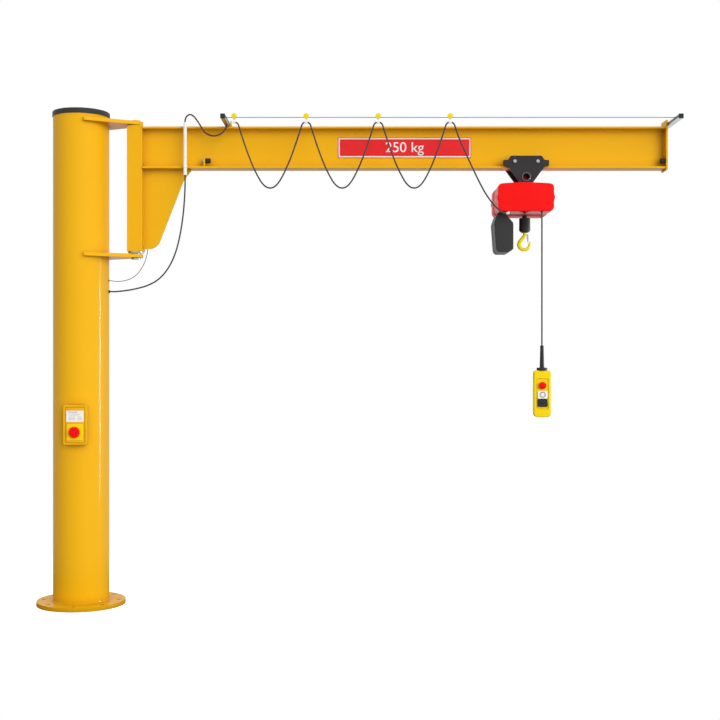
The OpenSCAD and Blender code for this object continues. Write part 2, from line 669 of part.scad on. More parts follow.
// ================= hoist =================
hoist_off = 15;         // the hoist's middle lies this far in from the trolley's
hoist_x = trolley_x - hoist_off;
hoist_drop = 213.8;     // from the suspension tube's axis to the hoist's underside
hoist_z = tube_z - hoist_drop;
hoist_top = hoist_z + hoist_h + hoist_crown;
lug_w = 70;
lug_t = 60;
module hoist_lug() color(c_red) difference() {
    union() {
        translate([trolley_x, 0, tube_z]) rod_y(lug_w, lug_t);
        translate([trolley_x - lug_w / 2, -lug_t / 2, hoist_top - mid_inset])
            cube([lug_w, lug_t, tube_z - hoist_top + mid_inset]);
    }
    translate([trolley_x, 0, tube_z]) rod_y(hanger_tube_d + 2 * fit_gap, 2 * lug_t);
}

ridge = 6;              // swell along the middle of each side
ridge_z = 81;
ridge_half = 20;
foot_r = 28;            // corner radius along the underside
shoulder_r = 24;        // corner radius along the top
crown_steps = 6;
// The body as seen from the front, from the middle of its underside up one side and over its crown.
module hoist_section(inset) {
    w = hoist_w / 2 - inset;
    h = hoist_h - inset;
    side = rounded([[0, inset], [w, inset], [w, ridge_z - ridge_half], [w + ridge, ridge_z],
        [w, ridge_z + ridge_half], [w, h], [w - 2 * shoulder_r, h + hoist_crown / 2]],
        [0, foot_r, 30, ridge_half / 2, 30, shoulder_r, 0]);
    top = [for (k = [1:crown_steps]) let (t = k / crown_steps)
        [(w - 2 * shoulder_r) * (1 - t), h + hoist_crown / 2 * (1 + t * (2 - t))]];
    half = concat(side, top);
    polygon(concat(half, [for (i = [len(half) - 2:-1:1]) [-half[i][0], half[i][1]]]));
}
mid_depth = 120;
mid_inset = 2;          // the middle housing lies this far inside the covers
cover_gap = 0.2;
cover_edge = 3;         // each step of the covers' stepped front edge
cover_step_in = [1.5, 4];
well_d = 24;
well_floor = 16;        // thickness of the guide at the foot of the chain well
well_h = 124;
module chain_well() translate([trolley_x, 0, hoist_z]) {
    translate([0, 0, well_floor]) cylinder(d = well_d, h = well_h);
    translate([0, 0, -1]) cylinder(r = link_out_w / 2 + seat_gap, h = well_floor + 2);
}
module hoist_housing() color(c_red) difference() {
    translate([hoist_x, mid_depth / 2, hoist_z]) rotate([90, 0, 0]) linear_extrude(mid_depth)
        hoist_section(mid_inset);
    chain_well();
}
cover_l = (hoist_depth - mid_depth) / 2 - cover_gap;
module hoist_covers() color(c_red) both_sides()
    translate([hoist_x, -mid_depth / 2 - cover_gap, hoist_z]) rotate([90, 0, 0]) {
        linear_extrude(cover_l - 2 * cover_edge) hoist_section(0);
        translate([0, 0, cover_l - 2 * cover_edge - 0.01]) linear_extrude(cover_edge + 0.01)
            hoist_section(cover_step_in[0]);
        translate([0, 0, cover_l - cover_edge - 0.01]) linear_extrude(cover_edge + 0.01)
            hoist_section(cover_step_in[1]);
    }

// The chain box under the hoist, as seen from the front.
chain_box_off = 119;
chain_box_x = hoist_x - chain_box_off;
chain_box_d = 195;
chain_box_gap = 4;      // between its lid and the hoist's underside
chain_box_pts = [[-38, -222], [-45, -208], [-56, -56], [-38, -chain_box_gap], [9, -chain_box_gap], [56, -58],
    [56, -211], [27, -228], [-26, -228]];
chain_box_r = [10, 20, 20, 12, 12, 20, 14, 16, 12];
neck_w = 24;            // neck that joins the box to the hoist
neck_d = 60;
chain_box_y = -2.5;     // its middle, just in front of the hoist's
module chain_box() color(c_dark) translate([chain_box_x, 0, hoist_z]) {
    plate_xz(rounded(chain_box_pts, chain_box_r), chain_box_d, chain_box_y);
    translate([-neck_w - 1, -neck_d / 2, -chain_box_gap - 2])
        cube([neck_w, neck_d, chain_box_gap + 2 + mid_inset]);
}

feed_gland = [hoist_x - 113, -168, hoist_z - 11];
pendant_x = hoist_x + 91;
pendant_y = -170;
module hoist_glands() {
    color(c_white) translate(feed_gland) {
        rod_x(12, 10);
        translate([9, -5, -5]) cube([9, 10, 16]);
    }
    color(c_rubber) translate([pendant_x, pendant_y, hoist_z - 6]) difference() {
        cylinder(d = 16, h = 6);
        translate([0, 0, -1]) cylinder(d = cable_d + 2 * fit_gap, h = 8);
    }
}

sleeve_l = 144;
collar_h = 16;
sleeve_foot_d = 61;
pendant_z = hoist_z - pendant_drop;      // top of the sleeve's collar
pendant_top = pendant_z - collar_h;
module pendant_cable() color(c_cable)
    tube([for (z = [hoist_z, pendant_top + sleeve_l]) [pendant_x, pendant_y, z]], cable_d);
module pendant_sleeve() color(c_rubber) translate([pendant_x, pendant_y, pendant_top]) difference() {
    union() {
        cylinder(d = sleeve_foot_d, h = collar_h);
        translate([0, 0, collar_h]) cylinder(d1 = 26.5, d2 = 20, h = sleeve_l - collar_h);
    }
    translate([0, 0, collar_h + 4]) cylinder(d = cable_d + 2 * fit_gap, h = sleeve_l);
}

panel_w = 68;
panel_h = 176;
panel_z = pendant_top - 134;             // centre of the recessed panel
face_y = pendant_y - pendant_depth / 2;
panel_depth = 4;
panel_floor = face_y + panel_depth;
stop_bz = pendant_top - 86;
up_bz = pendant_top - 139;
down_bz = pendant_top - 186;
button_d = 30;
button_stem_d = 16;
square_w = 56;
square_h = 45;
body_edge = 4;          // step of the body's front and rear edge
module pendant_body() color(c_signal) difference() {
    translate([pendant_x, 0, pendant_top - pendant_h / 2]) {
        plate_xz(rounded(rect(pendant_w, pendant_h), [22, 22, 16, 16]),
            pendant_depth - 2 * body_edge, pendant_y);
        plate_xz(rounded(rect(pendant_w - 2 * body_edge, pendant_h - 2 * body_edge), [18, 18, 12, 12]),
            pendant_depth, pendant_y);
    }
    translate([pendant_x, 0, panel_z])
        plate_xz(rounded(rect(panel_w, panel_h), [8, 8, 8, 8]), 2 * panel_depth, face_y);
    for (z = [stop_bz, up_bz, down_bz]) translate([pendant_x, panel_floor, z]) rod_y(button_stem_d + 1, 24);
}
button_travel = 3;
module stop_button() color(c_red) translate([pendant_x, panel_floor, stop_bz]) rotate([90, 0, 0]) {
    translate([0, 0, -8]) cylinder(d = button_stem_d, h = 24);
    translate([0, 0, 9]) rotate_extrude()
        polygon([[0, 0], [20, 0], [21, 2], [21, 6], [18, 9.5], [12, 11.5], [0, 12.5]]);
}
module push_button(z, c) color(c) translate([pendant_x, panel_floor, z]) {
    rod_y(button_stem_d, 16, 0.5);
    difference() {
        plate_xz(rounded(rect(square_w, square_h), [4, 4, 4, 4]), 5, -button_travel - 1 - 2.5);
        rod_y(button_d, 3, -button_travel - 6);
    }
    rod_y(button_d - 6, 4, -button_travel - 5);
}
module raise_button() push_button(up_bz, c_white);
module lower_button() push_button(down_bz, c_black);

// ---- load chain and hook ----
block_top = hoist_z - 21;
block_z = block_top - block_h;
stub_l = 18;            // rubber stop round the chain, above the block
link_in_w = 6;
link_out_w = link_in_w + 2 * chain_wire_d;
module link() {
    bend = link_in_w / 2 + chain_wire_d / 2;
    half = chain_pitch / 2 - link_in_w / 2;
    for (s = [0, 1]) mirror([0, 0, s]) translate([0, 0, half]) rotate([90, 0, 0])
        rotate_extrude(angle = 180, $fn = 24) translate([bend, 0]) circle(d = chain_wire_d, $fn = 16);
    for (s = [-1, 1]) translate([s * bend, 0, -half]) cylinder(d = chain_wire_d, h = 2 * half, $fn = 16);
}
link_step = chain_pitch - seat_gap;
link_z = block_top - 2;
link_count = 10;
module load_chain() color(c_bright) for (i = [0:link_count - 1])
    translate([trolley_x, 0, link_z + i * link_step]) rotate(45 + 90 * (i % 2)) link();

chain_hole_d = 19;
// The lowest link rests on its floor.
chain_hole_l = block_top - link_z + chain_pitch / 2 + chain_wire_d - fit_gap;
socket_l = 24;
module hook_block() color(c_rubber) translate([trolley_x, 0, block_z]) difference() {
    rotate_extrude() polygon(concat([[0, 0], [block_d / 2 - 22, 0]],
        [for (a = [-90:15:0]) [block_d / 2 - 20 + 20 * cos(a), 20 + 20 * sin(a)]],
        [[block_d / 2, block_h - 4], [block_d / 2 - 4, block_h], [14, block_h], [14, block_h + stub_l],
            [0, block_h + stub_l]]));
    translate([0, 0, block_h - chain_hole_l]) cylinder(d = chain_hole_d, h = chain_hole_l + stub_l + 1);
    translate([0, 0, -1]) cylinder(r = shank_d / 2 + fit_gap, h = socket_l + 1);
}

throat_drop = 69;       // from the block's underside to the middle of the hook's throat
throat_z = block_z - throat_drop;
socket_play = 2;        // over the shank's top, in its socket
// Centreline, in-plane thickness and width of the hook, from the neck round to the tip.
hook_neck_t = 24;
// By the angle round the throat: the thickness, and how far the tip's inner side leaves the throat's circle.
throat_thick = [[165, hook_neck_t], [180, 25], [270, 19.5], [355, 16], [375, 12], [388, 4]];
tip_flare = [[360, 0], [375, 4], [388, 15]];
function throat_pt(a) = let (r = throat_r + lookup(a, tip_flare) + lookup(a, throat_thick) / 2)
    [r * cos(a), r * sin(a)];
neck_start = [0, 60];
arc_start = throat_pt(165);
neck_c1 = [0, 44];
neck_c2 = arc_start + 17 * [sin(165), -cos(165)];
// A cubic curve from the shank down to the throat
function neck_pt(t) = let (u = 1 - t)
    pow(u, 3) * neck_start + 3 * t * u * (u * neck_c1 + t * neck_c2) + pow(t, 3) * arc_start;
throat_turn = [165:10:385];
hook_path = concat([for (i = [0:7]) neck_pt(i / 8)], [for (a = throat_turn) throat_pt(a)]);
hook_thick = concat([for (i = [0:7]) shank_d + (hook_neck_t - shank_d) * i / 8],
    [for (a = throat_turn) lookup(a, throat_thick)]);
hook_wide = 21;         // widest across the hook
hook_sides = 14;
module hook_loft() {
    n = len(hook_path);
    rings = [for (i = [0:n - 1])
        let (t = tangent(hook_path, i), out = [-t[1], t[0]],
            th = hook_thick[i], w = min(th * 1.05, hook_wide))
        for (k = [0:hook_sides - 1]) let (a = 360 * k / hook_sides, q = hook_path[i] + out * th / 2 * cos(a))
            [q[0], w / 2 * sin(a), q[1]]];
    last = (n - 1) * hook_sides;
    polyhedron(rings, concat(
        [[for (k = [hook_sides - 1:-1:0]) k]],
        [[for (k = [0:hook_sides - 1]) last + k]],
        [for (i = [0:n - 2]) for (k = [0:hook_sides - 1])
            let (a = i * hook_sides, b = a + hook_sides, m = (k + 1) % hook_sides) [a + k, a + m, b + m, b + k]]));
}
latch_px = 16;
latch_pz = 56;
latch_pin_d = 5;
ear_d = 11;
ear_t = 6;
module hook() color(c_signal) translate([trolley_x, 0, throat_z]) {
    hook_loft();
    shank_z = neck_start[1] - 0.5;
    translate([0, 0, shank_z])
        cylinder(d = shank_d, h = block_z - throat_z + socket_l - socket_play - shank_z);
    difference() {
        union() {
            translate([latch_px, 0, latch_pz]) rod_y(ear_d, ear_t);
            translate([2, -ear_t / 2, latch_pz - ear_d / 2]) cube([latch_px - 2, ear_t, ear_d]);
        }
        translate([latch_px, 0, latch_pz]) rod_y(latch_pin_d + 2 * fit_gap, 20);
    }
}

latch_l = 45;            // from the pin down to the latch's tip
latch_in = 3.3;          // from its middle to its cheeks' inner faces
cheek_t = 1.5;
cheek_pts = [[-5, -12], [-4, 5], [5, 5], [6, -12], [6, -latch_l + 4], [2, -latch_l]];
module hook_latch() color(c_bright) translate([trolley_x + latch_px, 0, throat_z + latch_pz]) {
    rod_y(latch_pin_d, 2 * latch_in + 5);
    for (y = [-1, 1]) plate_xz(rounded(cheek_pts, [2, 4, 4, 3, 2, 1]), cheek_t, y * (latch_in + cheek_t / 2));
    translate([6 - cheek_t, -latch_in, -latch_l + 4]) cube([cheek_t, 2 * latch_in, latch_l - 14]);
}

base_flange();
column_tube();
column_cap();
bracket_plates();
pivot_pins();
switch_box();
switch_plate();
rotary_knob();
column_glands();
supply_cable();
earth_wire();
pivot_post();
post_foot();
jib_beam();
gusset_plate();
beam_end_plate();
end_stops();
stop_buffers();
wire_arms();
arm_end_caps();
guide_wire();
fixed_hanger();
conduit();
riser_cable();
festoon_cable();
cable_hanger_1();
cable_hanger_2();
cable_hanger_3();
cable_roller_1();
cable_roller_2();
cable_roller_3();
trolley_plates();
trolley_axles();
wheel_1();
wheel_2();
wheel_3();
wheel_4();
suspension_tube();
hoist_lug();
hoist_housing();
hoist_covers();
chain_box();
hoist_glands();
pendant_cable();
pendant_sleeve();
pendant_body();
stop_button();
raise_button();
lower_button();
load_chain();
hook_block();
hook();
hook_latch();
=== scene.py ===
import bmesh
import bpy
import json
import math
from mathutils import Matrix, Vector

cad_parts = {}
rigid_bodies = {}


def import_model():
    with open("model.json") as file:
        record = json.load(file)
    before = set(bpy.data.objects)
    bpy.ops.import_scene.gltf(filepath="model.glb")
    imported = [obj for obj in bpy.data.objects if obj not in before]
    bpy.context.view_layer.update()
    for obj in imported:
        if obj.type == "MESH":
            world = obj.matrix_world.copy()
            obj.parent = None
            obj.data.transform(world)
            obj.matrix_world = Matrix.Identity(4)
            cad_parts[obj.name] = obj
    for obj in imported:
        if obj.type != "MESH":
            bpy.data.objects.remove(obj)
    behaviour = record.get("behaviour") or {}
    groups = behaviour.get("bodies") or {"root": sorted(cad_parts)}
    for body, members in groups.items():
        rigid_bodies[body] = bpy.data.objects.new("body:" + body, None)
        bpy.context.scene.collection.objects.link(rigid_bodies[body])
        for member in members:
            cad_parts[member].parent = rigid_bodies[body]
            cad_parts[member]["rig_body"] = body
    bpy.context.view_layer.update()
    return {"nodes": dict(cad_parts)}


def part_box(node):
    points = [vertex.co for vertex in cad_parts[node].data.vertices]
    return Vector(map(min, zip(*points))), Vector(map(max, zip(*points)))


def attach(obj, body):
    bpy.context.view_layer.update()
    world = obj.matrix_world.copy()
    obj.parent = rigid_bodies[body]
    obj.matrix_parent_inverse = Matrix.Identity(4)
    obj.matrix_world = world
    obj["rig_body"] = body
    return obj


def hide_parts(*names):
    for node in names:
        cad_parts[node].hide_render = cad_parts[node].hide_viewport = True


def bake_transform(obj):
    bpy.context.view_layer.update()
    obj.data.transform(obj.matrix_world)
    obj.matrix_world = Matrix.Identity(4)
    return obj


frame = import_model()

# ---- Camera and studio ----
# A level camera at eye height in front of the crane, a pale floor disc that fades into a white room,
# one broad soft light from the front and a narrow lamp at the far side for the streak on the column.
scene = bpy.context.scene
scene.view_settings.view_transform = "Standard"


def linear(colour):
    """An sRGB hex colour as the linear numbers that a shader takes."""
    parts = [int(colour[i:i + 2], 16) / 255 for i in (0, 2, 4)]
    return [c / 12.92 if c <= 0.04045 else ((c + 0.055) / 1.055) ** 2.4 for c in parts] + [1.0]


def add_node(tree, kind, settings=None, **inputs):
    """One node with its settings. Each input, with _ for a space, takes a value, another node's output, or a
    node for its first output."""
    made = tree.nodes.new(kind)
    for name, value in (settings or {}).items():
        setattr(made, name, value)
    for name, value in inputs.items():
        socket = made.inputs[int(name[1:])] if name[1:].isdigit() else made.inputs[name.replace("_", " ")]
        if isinstance(value, bpy.types.Node):
            tree.links.new(value.outputs[0], socket)
        elif isinstance(value, bpy.types.NodeSocket):
            tree.links.new(value, socket)
        else:
            socket.default_value = value
    return made


def place(name, data):
    """An object for that data, linked into the scene."""
    obj = bpy.data.objects.new(name, data)
    scene.collection.objects.link(obj)
    return obj


camera = place("camera", bpy.data.cameras.new("camera"))
camera.location = (1.642, -7.07, 1.435)
camera.rotation_euler = (math.radians(90), 0, 0)
camera.data.lens = 60
camera.data.clip_end = 200
scene.camera = camera

room = bpy.data.worlds.new("room")
scene.world = room
room.use_nodes = True
tree = room.node_tree
tree.nodes.clear()
seen = add_node(tree, "ShaderNodeLightPath")
mirrored = add_node(tree, "ShaderNodeMath", {"operation": "MAXIMUM"}, _0=seen.outputs["Is Camera Ray"],
                    _1=seen.outputs["Is Glossy Ray"])
seen_at_all = add_node(tree, "ShaderNodeMath", {"operation": "MAXIMUM"}, _0=mirrored,
                       _1=seen.outputs["Is Transmission Ray"])
towards = add_node(tree, "ShaderNodeTexCoord")
height = add_node(tree, "ShaderNodeSeparateXYZ", Vector=towards.outputs["Generated"])
dimming = add_node(tree, "ShaderNodeMapRange", Value=height.outputs["Z"], From_Min=-0.25, From_Max=0.25,
                   To_Min=0.24, To_Max=0.66)
fill = add_node(tree, "ShaderNodeBackground", Color=(1, 1, 1, 1), Strength=dimming)
white = add_node(tree, "ShaderNodeBackground", Color=(1, 1, 1, 1), Strength=1.0)
room_mix = add_node(tree, "ShaderNodeMixShader", _0=seen_at_all, _1=fill, _2=white)
add_node(tree, "ShaderNodeOutputWorld", Surface=room_mix)

key = place("key_light", bpy.data.lights.new("key_light", "SUN"))
key.data.energy = 2.1
key.data.angle = math.radians(50)
key.rotation_euler = (math.radians(78), 0, math.radians(35))
key.visible_glossy = False

streak = place("streak_lamp", bpy.data.lights.new("streak_lamp", "AREA"))
streak.data.shape = "ELLIPSE"
streak.data.size = 0.5
streak.data.size_y = 2.9
streak.data.energy = 150
streak.location = (5.6, 0.44, 1.4)
streak.rotation_euler = (math.radians(90), 0, math.radians(95.6))
streak.visible_diffuse = False

FLOOR_R, FLOOR_SIDES = 9, 64
floor_mesh = bpy.data.meshes.new("floor")
around = [math.tau * k / FLOOR_SIDES for k in range(FLOOR_SIDES)]
floor_mesh.from_pydata([(FLOOR_R * math.cos(a), FLOOR_R * math.sin(a), 0) for a in around], [],
                       [list(range(FLOOR_SIDES))])
floor = place("floor", floor_mesh)
floor_paint = bpy.data.materials.new("floor")
floor_paint.use_nodes = True
tree = floor_paint.node_tree
tree.nodes.clear()
seen = add_node(tree, "ShaderNodeLightPath")
bare = add_node(tree, "ShaderNodeBsdfDiffuse", Color=(0.3, 0.3, 0.3, 1))
glow = add_node(tree, "ShaderNodeEmission", Strength=seen.outputs["Is Camera Ray"])
lift = add_node(tree, "ShaderNodeMixShader", _0=0.72, _1=bare, _2=glow)
board = add_node(tree, "ShaderNodeAddShader", _0=lift, _1=lift)
clear = add_node(tree, "ShaderNodeBsdfTransparent")
where = add_node(tree, "ShaderNodeTexCoord")
reach = add_node(tree, "ShaderNodeVectorMath", {"operation": "LENGTH"}, _0=where.outputs["Object"])
fade = add_node(tree, "ShaderNodeMapRange", Value=reach.outputs["Value"], From_Min=0.6, From_Max=2.2)
floor_mix = add_node(tree, "ShaderNodeMixShader", _0=fade, _1=board, _2=clear)
add_node(tree, "ShaderNodeOutputMaterial", Surface=floor_mix)
floor_mesh.materials.append(floor_paint)

# ---- Cables ----
# Round 9 mm rubber flex, and a 4 mm earth wire: from the column to the conduit on the arm, from its top to
# the inner wire arm, in three loops and a last run along the guide wire to the hoist, and to the control.


def finish(name, colour, roughness, grain, tints=None, bump=None, peel=None, dull=None, **sockets):
    """A material of one shader. Noise of that grain (scale, detail) shifts it between two tints, runs its
    roughness over dull and, unless a peel noise does, raises its skin by bump (strength, distance)."""
    made = bpy.data.materials.new(name)
    made.use_nodes = True
    tree = made.node_tree
    shader = tree.nodes["Principled BSDF"]
    shader.inputs["Base Color"].default_value = linear(colour)
    shader.inputs["Roughness"].default_value = roughness
    for label, value in sockets.items():
        shader.inputs[label.replace("_", " ")].default_value = value
    where = add_node(tree, "ShaderNodeTexCoord").outputs["Object"]
    noise = add_node(tree, "ShaderNodeTexNoise", Vector=where, Scale=grain[0], Detail=grain[1])
    if tints:
        tint = add_node(tree, "ShaderNodeMix", {"data_type": "RGBA"}, _0=noise,
                        _6=linear(tints[0]), _7=linear(tints[1]))
        tree.links.new(tint.outputs[2], shader.inputs["Base Color"])
    if dull:
        spread = add_node(tree, "ShaderNodeMapRange", Value=noise, To_Min=dull[0], To_Max=dull[1])
        tree.links.new(spread.outputs[0], shader.inputs["Roughness"])
    if peel:
        noise = add_node(tree, "ShaderNodeTexNoise", Vector=where, Scale=peel[0], Detail=peel[1])
    if bump:
        skin = add_node(tree, "ShaderNodeBump", Height=noise, Strength=bump[0], Distance=bump[1])
        tree.links.new(skin.outputs[0], shader.inputs["Normal"])
    return made


# Extruded rubber sheath: matt dark grey, with a faint dull bloom along it.
flex_rubber = finish("flex_rubber_sheath", "3E3E40", 0.62, (60.0, 3.0), ("38383A", "4A4A4D"), IOR=1.52,
                     Specular_IOR_Level=0.2)

FLEX_D = 0.009
EARTH_D = 0.004


def smooth_path(points, steps=5):
    """Points on the smooth curve through the given ones."""
    p = [Vector(q) for q in points]
    made = []
    for i in range(len(p) - 1):
        a, b, c, d = p[max(i - 1, 0)], p[i], p[i + 1], p[min(i + 2, len(p) - 1)]
        for k in range(steps):
            t = k / steps
            made.append(0.5 * (2 * b + (c - a) * t + (2 * a - 5 * b + 4 * c - d) * t * t
                               + (3 * b - a - 3 * c + d) * t ** 3))
    return made + [p[-1]]


def mesh_piece(name, verts, faces, material, sharp=35):
    """A closed mesh piece with its normals outwards, smooth except across sharp edges."""
    mesh = bpy.data.meshes.new(name)
    mesh.from_pydata([tuple(v) for v in verts], [], faces)
    form = bmesh.new()
    form.from_mesh(mesh)
    bmesh.ops.remove_doubles(form, verts=form.verts, dist=1e-7)
    bmesh.ops.recalc_face_normals(form, faces=form.faces)
    form.to_mesh(mesh)
    form.free()
    mesh.materials.append(material)
    mesh.shade_smooth()
    mesh.set_sharp_from_angle(angle=math.radians(sharp))
    return place(name, mesh)


def swept(name, path, diameters, material, sides=12):
    """A round tube along path, with one diameter or one for each point, its ends closed."""
    if not hasattr(diameters, "__len__"):
        diameters = [diameters] * len(path)
    verts, side = [], None
    for i, p in enumerate(path):
        along = (path[min(i + 1, len(path) - 1)] - path[max(i - 1, 0)]).normalized()
        if side is None:
            side = along.orthogonal().normalized()
        side = (side - along * side.dot(along)).normalized()
        up = along.cross(side)
        for k in range(sides):
            a = 2 * math.pi * k / sides
            verts.append(p + diameters[i] / 2 * (math.cos(a) * side + math.sin(a) * up))
    faces = [[i * sides + k, i * sides + (k + 1) % sides,
              (i + 1) * sides + (k + 1) % sides, (i + 1) * sides + k]
             for i in range(len(path) - 1) for k in range(sides)]
    faces += [list(range(sides))[::-1], [(len(path) - 1) * sides + k for k in range(sides)]]
    return mesh_piece(name, verts, faces, material, sharp=60)


def cable(name, points, diameter, nodes, **facts):
    """A cable on a smooth curve through the points, which stands for its CAD solids."""
    path = smooth_path(points)
    obj = swept(name, path, diameter, flex_rubber)
    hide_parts(*nodes)
    return obj


BRACKET_T, PIN_BELOW = 0.021, 0.01
LOWER_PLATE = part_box("pivot_pins")[0].z + PIN_BELOW + BRACKET_T    # top face of the lower bracket plate
BEAM_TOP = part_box("jib_beam")[1].z

supply_cable = cable("supply_cable_flex", [(x, y, LOWER_PLATE + z) for x, y, z in [
    (0.158, 0, -0.219), (0.180, 0, -0.219), (0.205, -0.002, -0.219), (0.250, -0.006, -0.215),
    (0.295, -0.012, -0.209), (0.335, -0.018, -0.201), (0.375, -0.024, -0.191), (0.413, -0.030, -0.177),
    (0.450, -0.037, -0.157), (0.485, -0.044, -0.128), (0.513, -0.050, -0.095), (0.540, -0.055, -0.051),
    (0.562, -0.060, -0.001), (0.579, -0.064, 0.053), (0.592, -0.067, 0.109), (0.602, -0.069, 0.165),
    (0.610, -0.071, 0.223), (0.616, -0.072, 0.283), (0.620, -0.072, 0.343), (0.622, -0.072, 0.403),
    (0.622, -0.072, 0.443), (0.622, -0.072, 0.470)]], FLEX_D, ["supply_cable"],
                     stiffness="medium", lay="hanging")
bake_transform(supply_cable)

earth_wire = cable("earth_wire_flex", [(x, y, LOWER_PLATE + z) for x, y, z in [
    (0.158, 0, -0.155), (0.176, 0, -0.155), (0.194, 0, -0.158), (0.215, 0, -0.159), (0.240, 0, -0.157),
    (0.262, 0, -0.153), (0.284, 0, -0.146), (0.306, 0, -0.135), (0.328, 0, -0.118), (0.346, 0, -0.096),
    (0.360, 0, -0.073), (0.372, 0, -0.049), (0.381, 0, -0.023), (0.388, 0, 0.003), (0.391, 0, 0.020),
    (0.391, 0, 0.030)]], EARTH_D, ["earth_wire"], stiffness="limp", lay="hanging")
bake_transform(earth_wire)

riser_cable = cable("riser_cable_flex", [(x, y, BEAM_TOP + z) for x, y, z in [
    (0.622, -0.072, 0.007), (0.622, -0.072, 0.027), (0.625, -0.072, 0.043), (0.633, -0.073, 0.056),
    (0.646, -0.074, 0.064), (0.659, -0.076, 0.063), (0.671, -0.078, 0.055), (0.682, -0.081, 0.044),
    (0.693, -0.084, 0.029), (0.704, -0.087, 0.013), (0.715, -0.09, -0.005), (0.727, -0.093, -0.024),
    (0.741, -0.096, -0.044), (0.766, -0.099, -0.059), (0.79, -0.1, -0.064), (0.814, -0.1, -0.061),
    (0.838, -0.1, -0.049), (0.855, -0.1, -0.032), (0.864, -0.1, -0.015), (0.867, -0.1, -0.005),
    (0.867, -0.1, -0.0003)]], FLEX_D, ["riser_cable"],
                    stiffness="medium", lay="hanging")
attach(riser_cable, "jib")

# Each loop hangs between two clips. The hangers take 0.219, 0.438 and 0.657 of the trolley's travel.
CLIP_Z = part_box("cable_hanger_1")[0].z + 0.007
WIRE_Y = -0.208
HANGERS = ["fixed_hanger", "cable_hanger_1", "cable_hanger_2", "cable_hanger_3"]
hanger_x = [sum(c.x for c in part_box(n)) / 2 for n in HANGERS]
half_loop = [(0, -0.377), (0.022, -0.371), (0.045, -0.350), (0.068, -0.314), (0.092, -0.266), (0.118, -0.204),
             (0.143, -0.135), (0.165, -0.068), (0.174, -0.040), (0.180, -0.020), (0.187, -0.008),
             (0.197, -0.0015), (0.206, 0)]
last_run = [(2.158, -0.208, 0), (2.167, -0.208, -0.0015), (2.177, -0.208, -0.008), (2.184, -0.208, -0.020),
            (2.191, -0.208, -0.041), (2.200, -0.208, -0.069), (2.216, -0.208, -0.108),
            (2.236, -0.208, -0.154), (2.258, -0.208, -0.203), (2.282, -0.208, -0.254),
            (2.307, -0.208, -0.307), (2.332, -0.207, -0.357), (2.358, -0.206, -0.404),
            (2.386, -0.203, -0.445), (2.416, -0.198, -0.479), (2.442, -0.190, -0.502),
            (2.460, -0.175, -0.514), (2.474, -0.168, -0.518), (2.484, -0.168, -0.518)]


def blend_run(obj):
    """obj with its placement made part of its mesh."""
    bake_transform(obj)


for k in range(3):
    middle = (hanger_x[k] + hanger_x[k + 1]) / 2
    span = [(middle - x, WIRE_Y, CLIP_Z + z) for x, z in half_loop[::-1]]
    span += [(middle + x, WIRE_Y, CLIP_Z + z) for x, z in half_loop[1:]]
    loop = cable(f"festoon_loop_{k + 1}", span, FLEX_D, ["festoon_cable"], stiffness="limp", lay="hanging")
    blend_run(loop)
run = cable("festoon_last_run", [(x, y, CLIP_Z + z) for x, y, z in last_run], FLEX_D, ["festoon_cable"],
            stiffness="limp", lay="hanging")
blend_run(run)

# The control's cable hangs straight from its gland under the hoist.
low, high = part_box("pendant_cable")
pendant_x, pendant_y = (low.x + high.x) / 2, (low.y + high.y) / 2
pendant_cable = cable("pendant_cable_flex", [(pendant_x, pendant_y, high.z + (low.z - high.z) * k / 15)
                                             for k in range(16)], FLEX_D, ["pendant_cable"],
                      stiffness="medium", lay="hanging", with_pieces=[frame["nodes"]["pendant_body"]])
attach(pendant_cable, "trolley")

# ---- Column ----
# A 324 mm seamless steel tube welded to a round base flange with eight anchor holes, powder coated golden
# yellow after welding. A moulded plastic cap closes its top.

PEEL = (200.0, 2.0)    # orange peel of powder coats, drawn at 5 mm to show

# Polyester powder coat on steel: even golden yellow, semi-gloss, with an orange-peel skin.
coat_yellow = finish("powder_coat_golden_yellow", "F0B20C", 0.42, (1.6, 2.0), ("EEB00A", "F3B710"),
                     bump=(0.06, 0.0006), peel=PEEL, IOR=1.55, Specular_IOR_Level=0.07, Coat_Weight=0.16,
                     Coat_Roughness=0.06)
# painted shade: an ambient occlusion test darkens the coat to a browner tone in its inner corners and next to
# other parts, over about 60 mm
tree = coat_yellow.node_tree
paint = tree.nodes["Principled BSDF"].inputs["Base Color"]
near = add_node(tree, "ShaderNodeAmbientOcclusion", {"samples": 6}, Distance=0.06)
corner_shade = add_node(tree, "ShaderNodeMapRange", Value=near.outputs["AO"], From_Min=0.2, From_Max=0.9)
corner_shaded_paint = add_node(tree, "ShaderNodeMix", {"data_type": "RGBA"}, _0=corner_shade, _6=linear("BC8610"),
                _7=paint.links[0].from_socket)
tree.links.new(corner_shaded_paint.outputs[2], paint)

# Moulded ABS: near-black grey with a fine even texture, drawn at 2 mm to show.
abs_grey = finish("moulded_abs_dark_grey", "343435", 0.5, (500.0, 1.0), bump=(0.25, 0.0005), dull=(0.42, 0.6),
                  IOR=1.54, Specular_IOR_Level=0.19)


def settled(obj):
    """obj with its modifiers made part of its mesh."""
    mesh = bpy.data.meshes.new_from_object(obj.evaluated_get(bpy.context.evaluated_depsgraph_get()))
    obj.modifiers.clear()
    obj.data = mesh
    return obj


def edged(obj, radius, segments=2, angle=40):
    """obj with its sharp edges broken by a small round of that radius."""
    round_off = obj.modifiers.new("edges", "BEVEL")
    round_off.width = radius
    round_off.segments = segments
    round_off.limit_method = "ANGLE"
    round_off.angle_limit = math.radians(angle)
    round_off.harden_normals = True
    return settled(obj)


def fitted(obj, body, slot, *nodes):
    """obj standing for those CAD nodes, which it hides, riding that body. slot is not used."""
    if nodes:
        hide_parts(*nodes)
    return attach(obj, body)


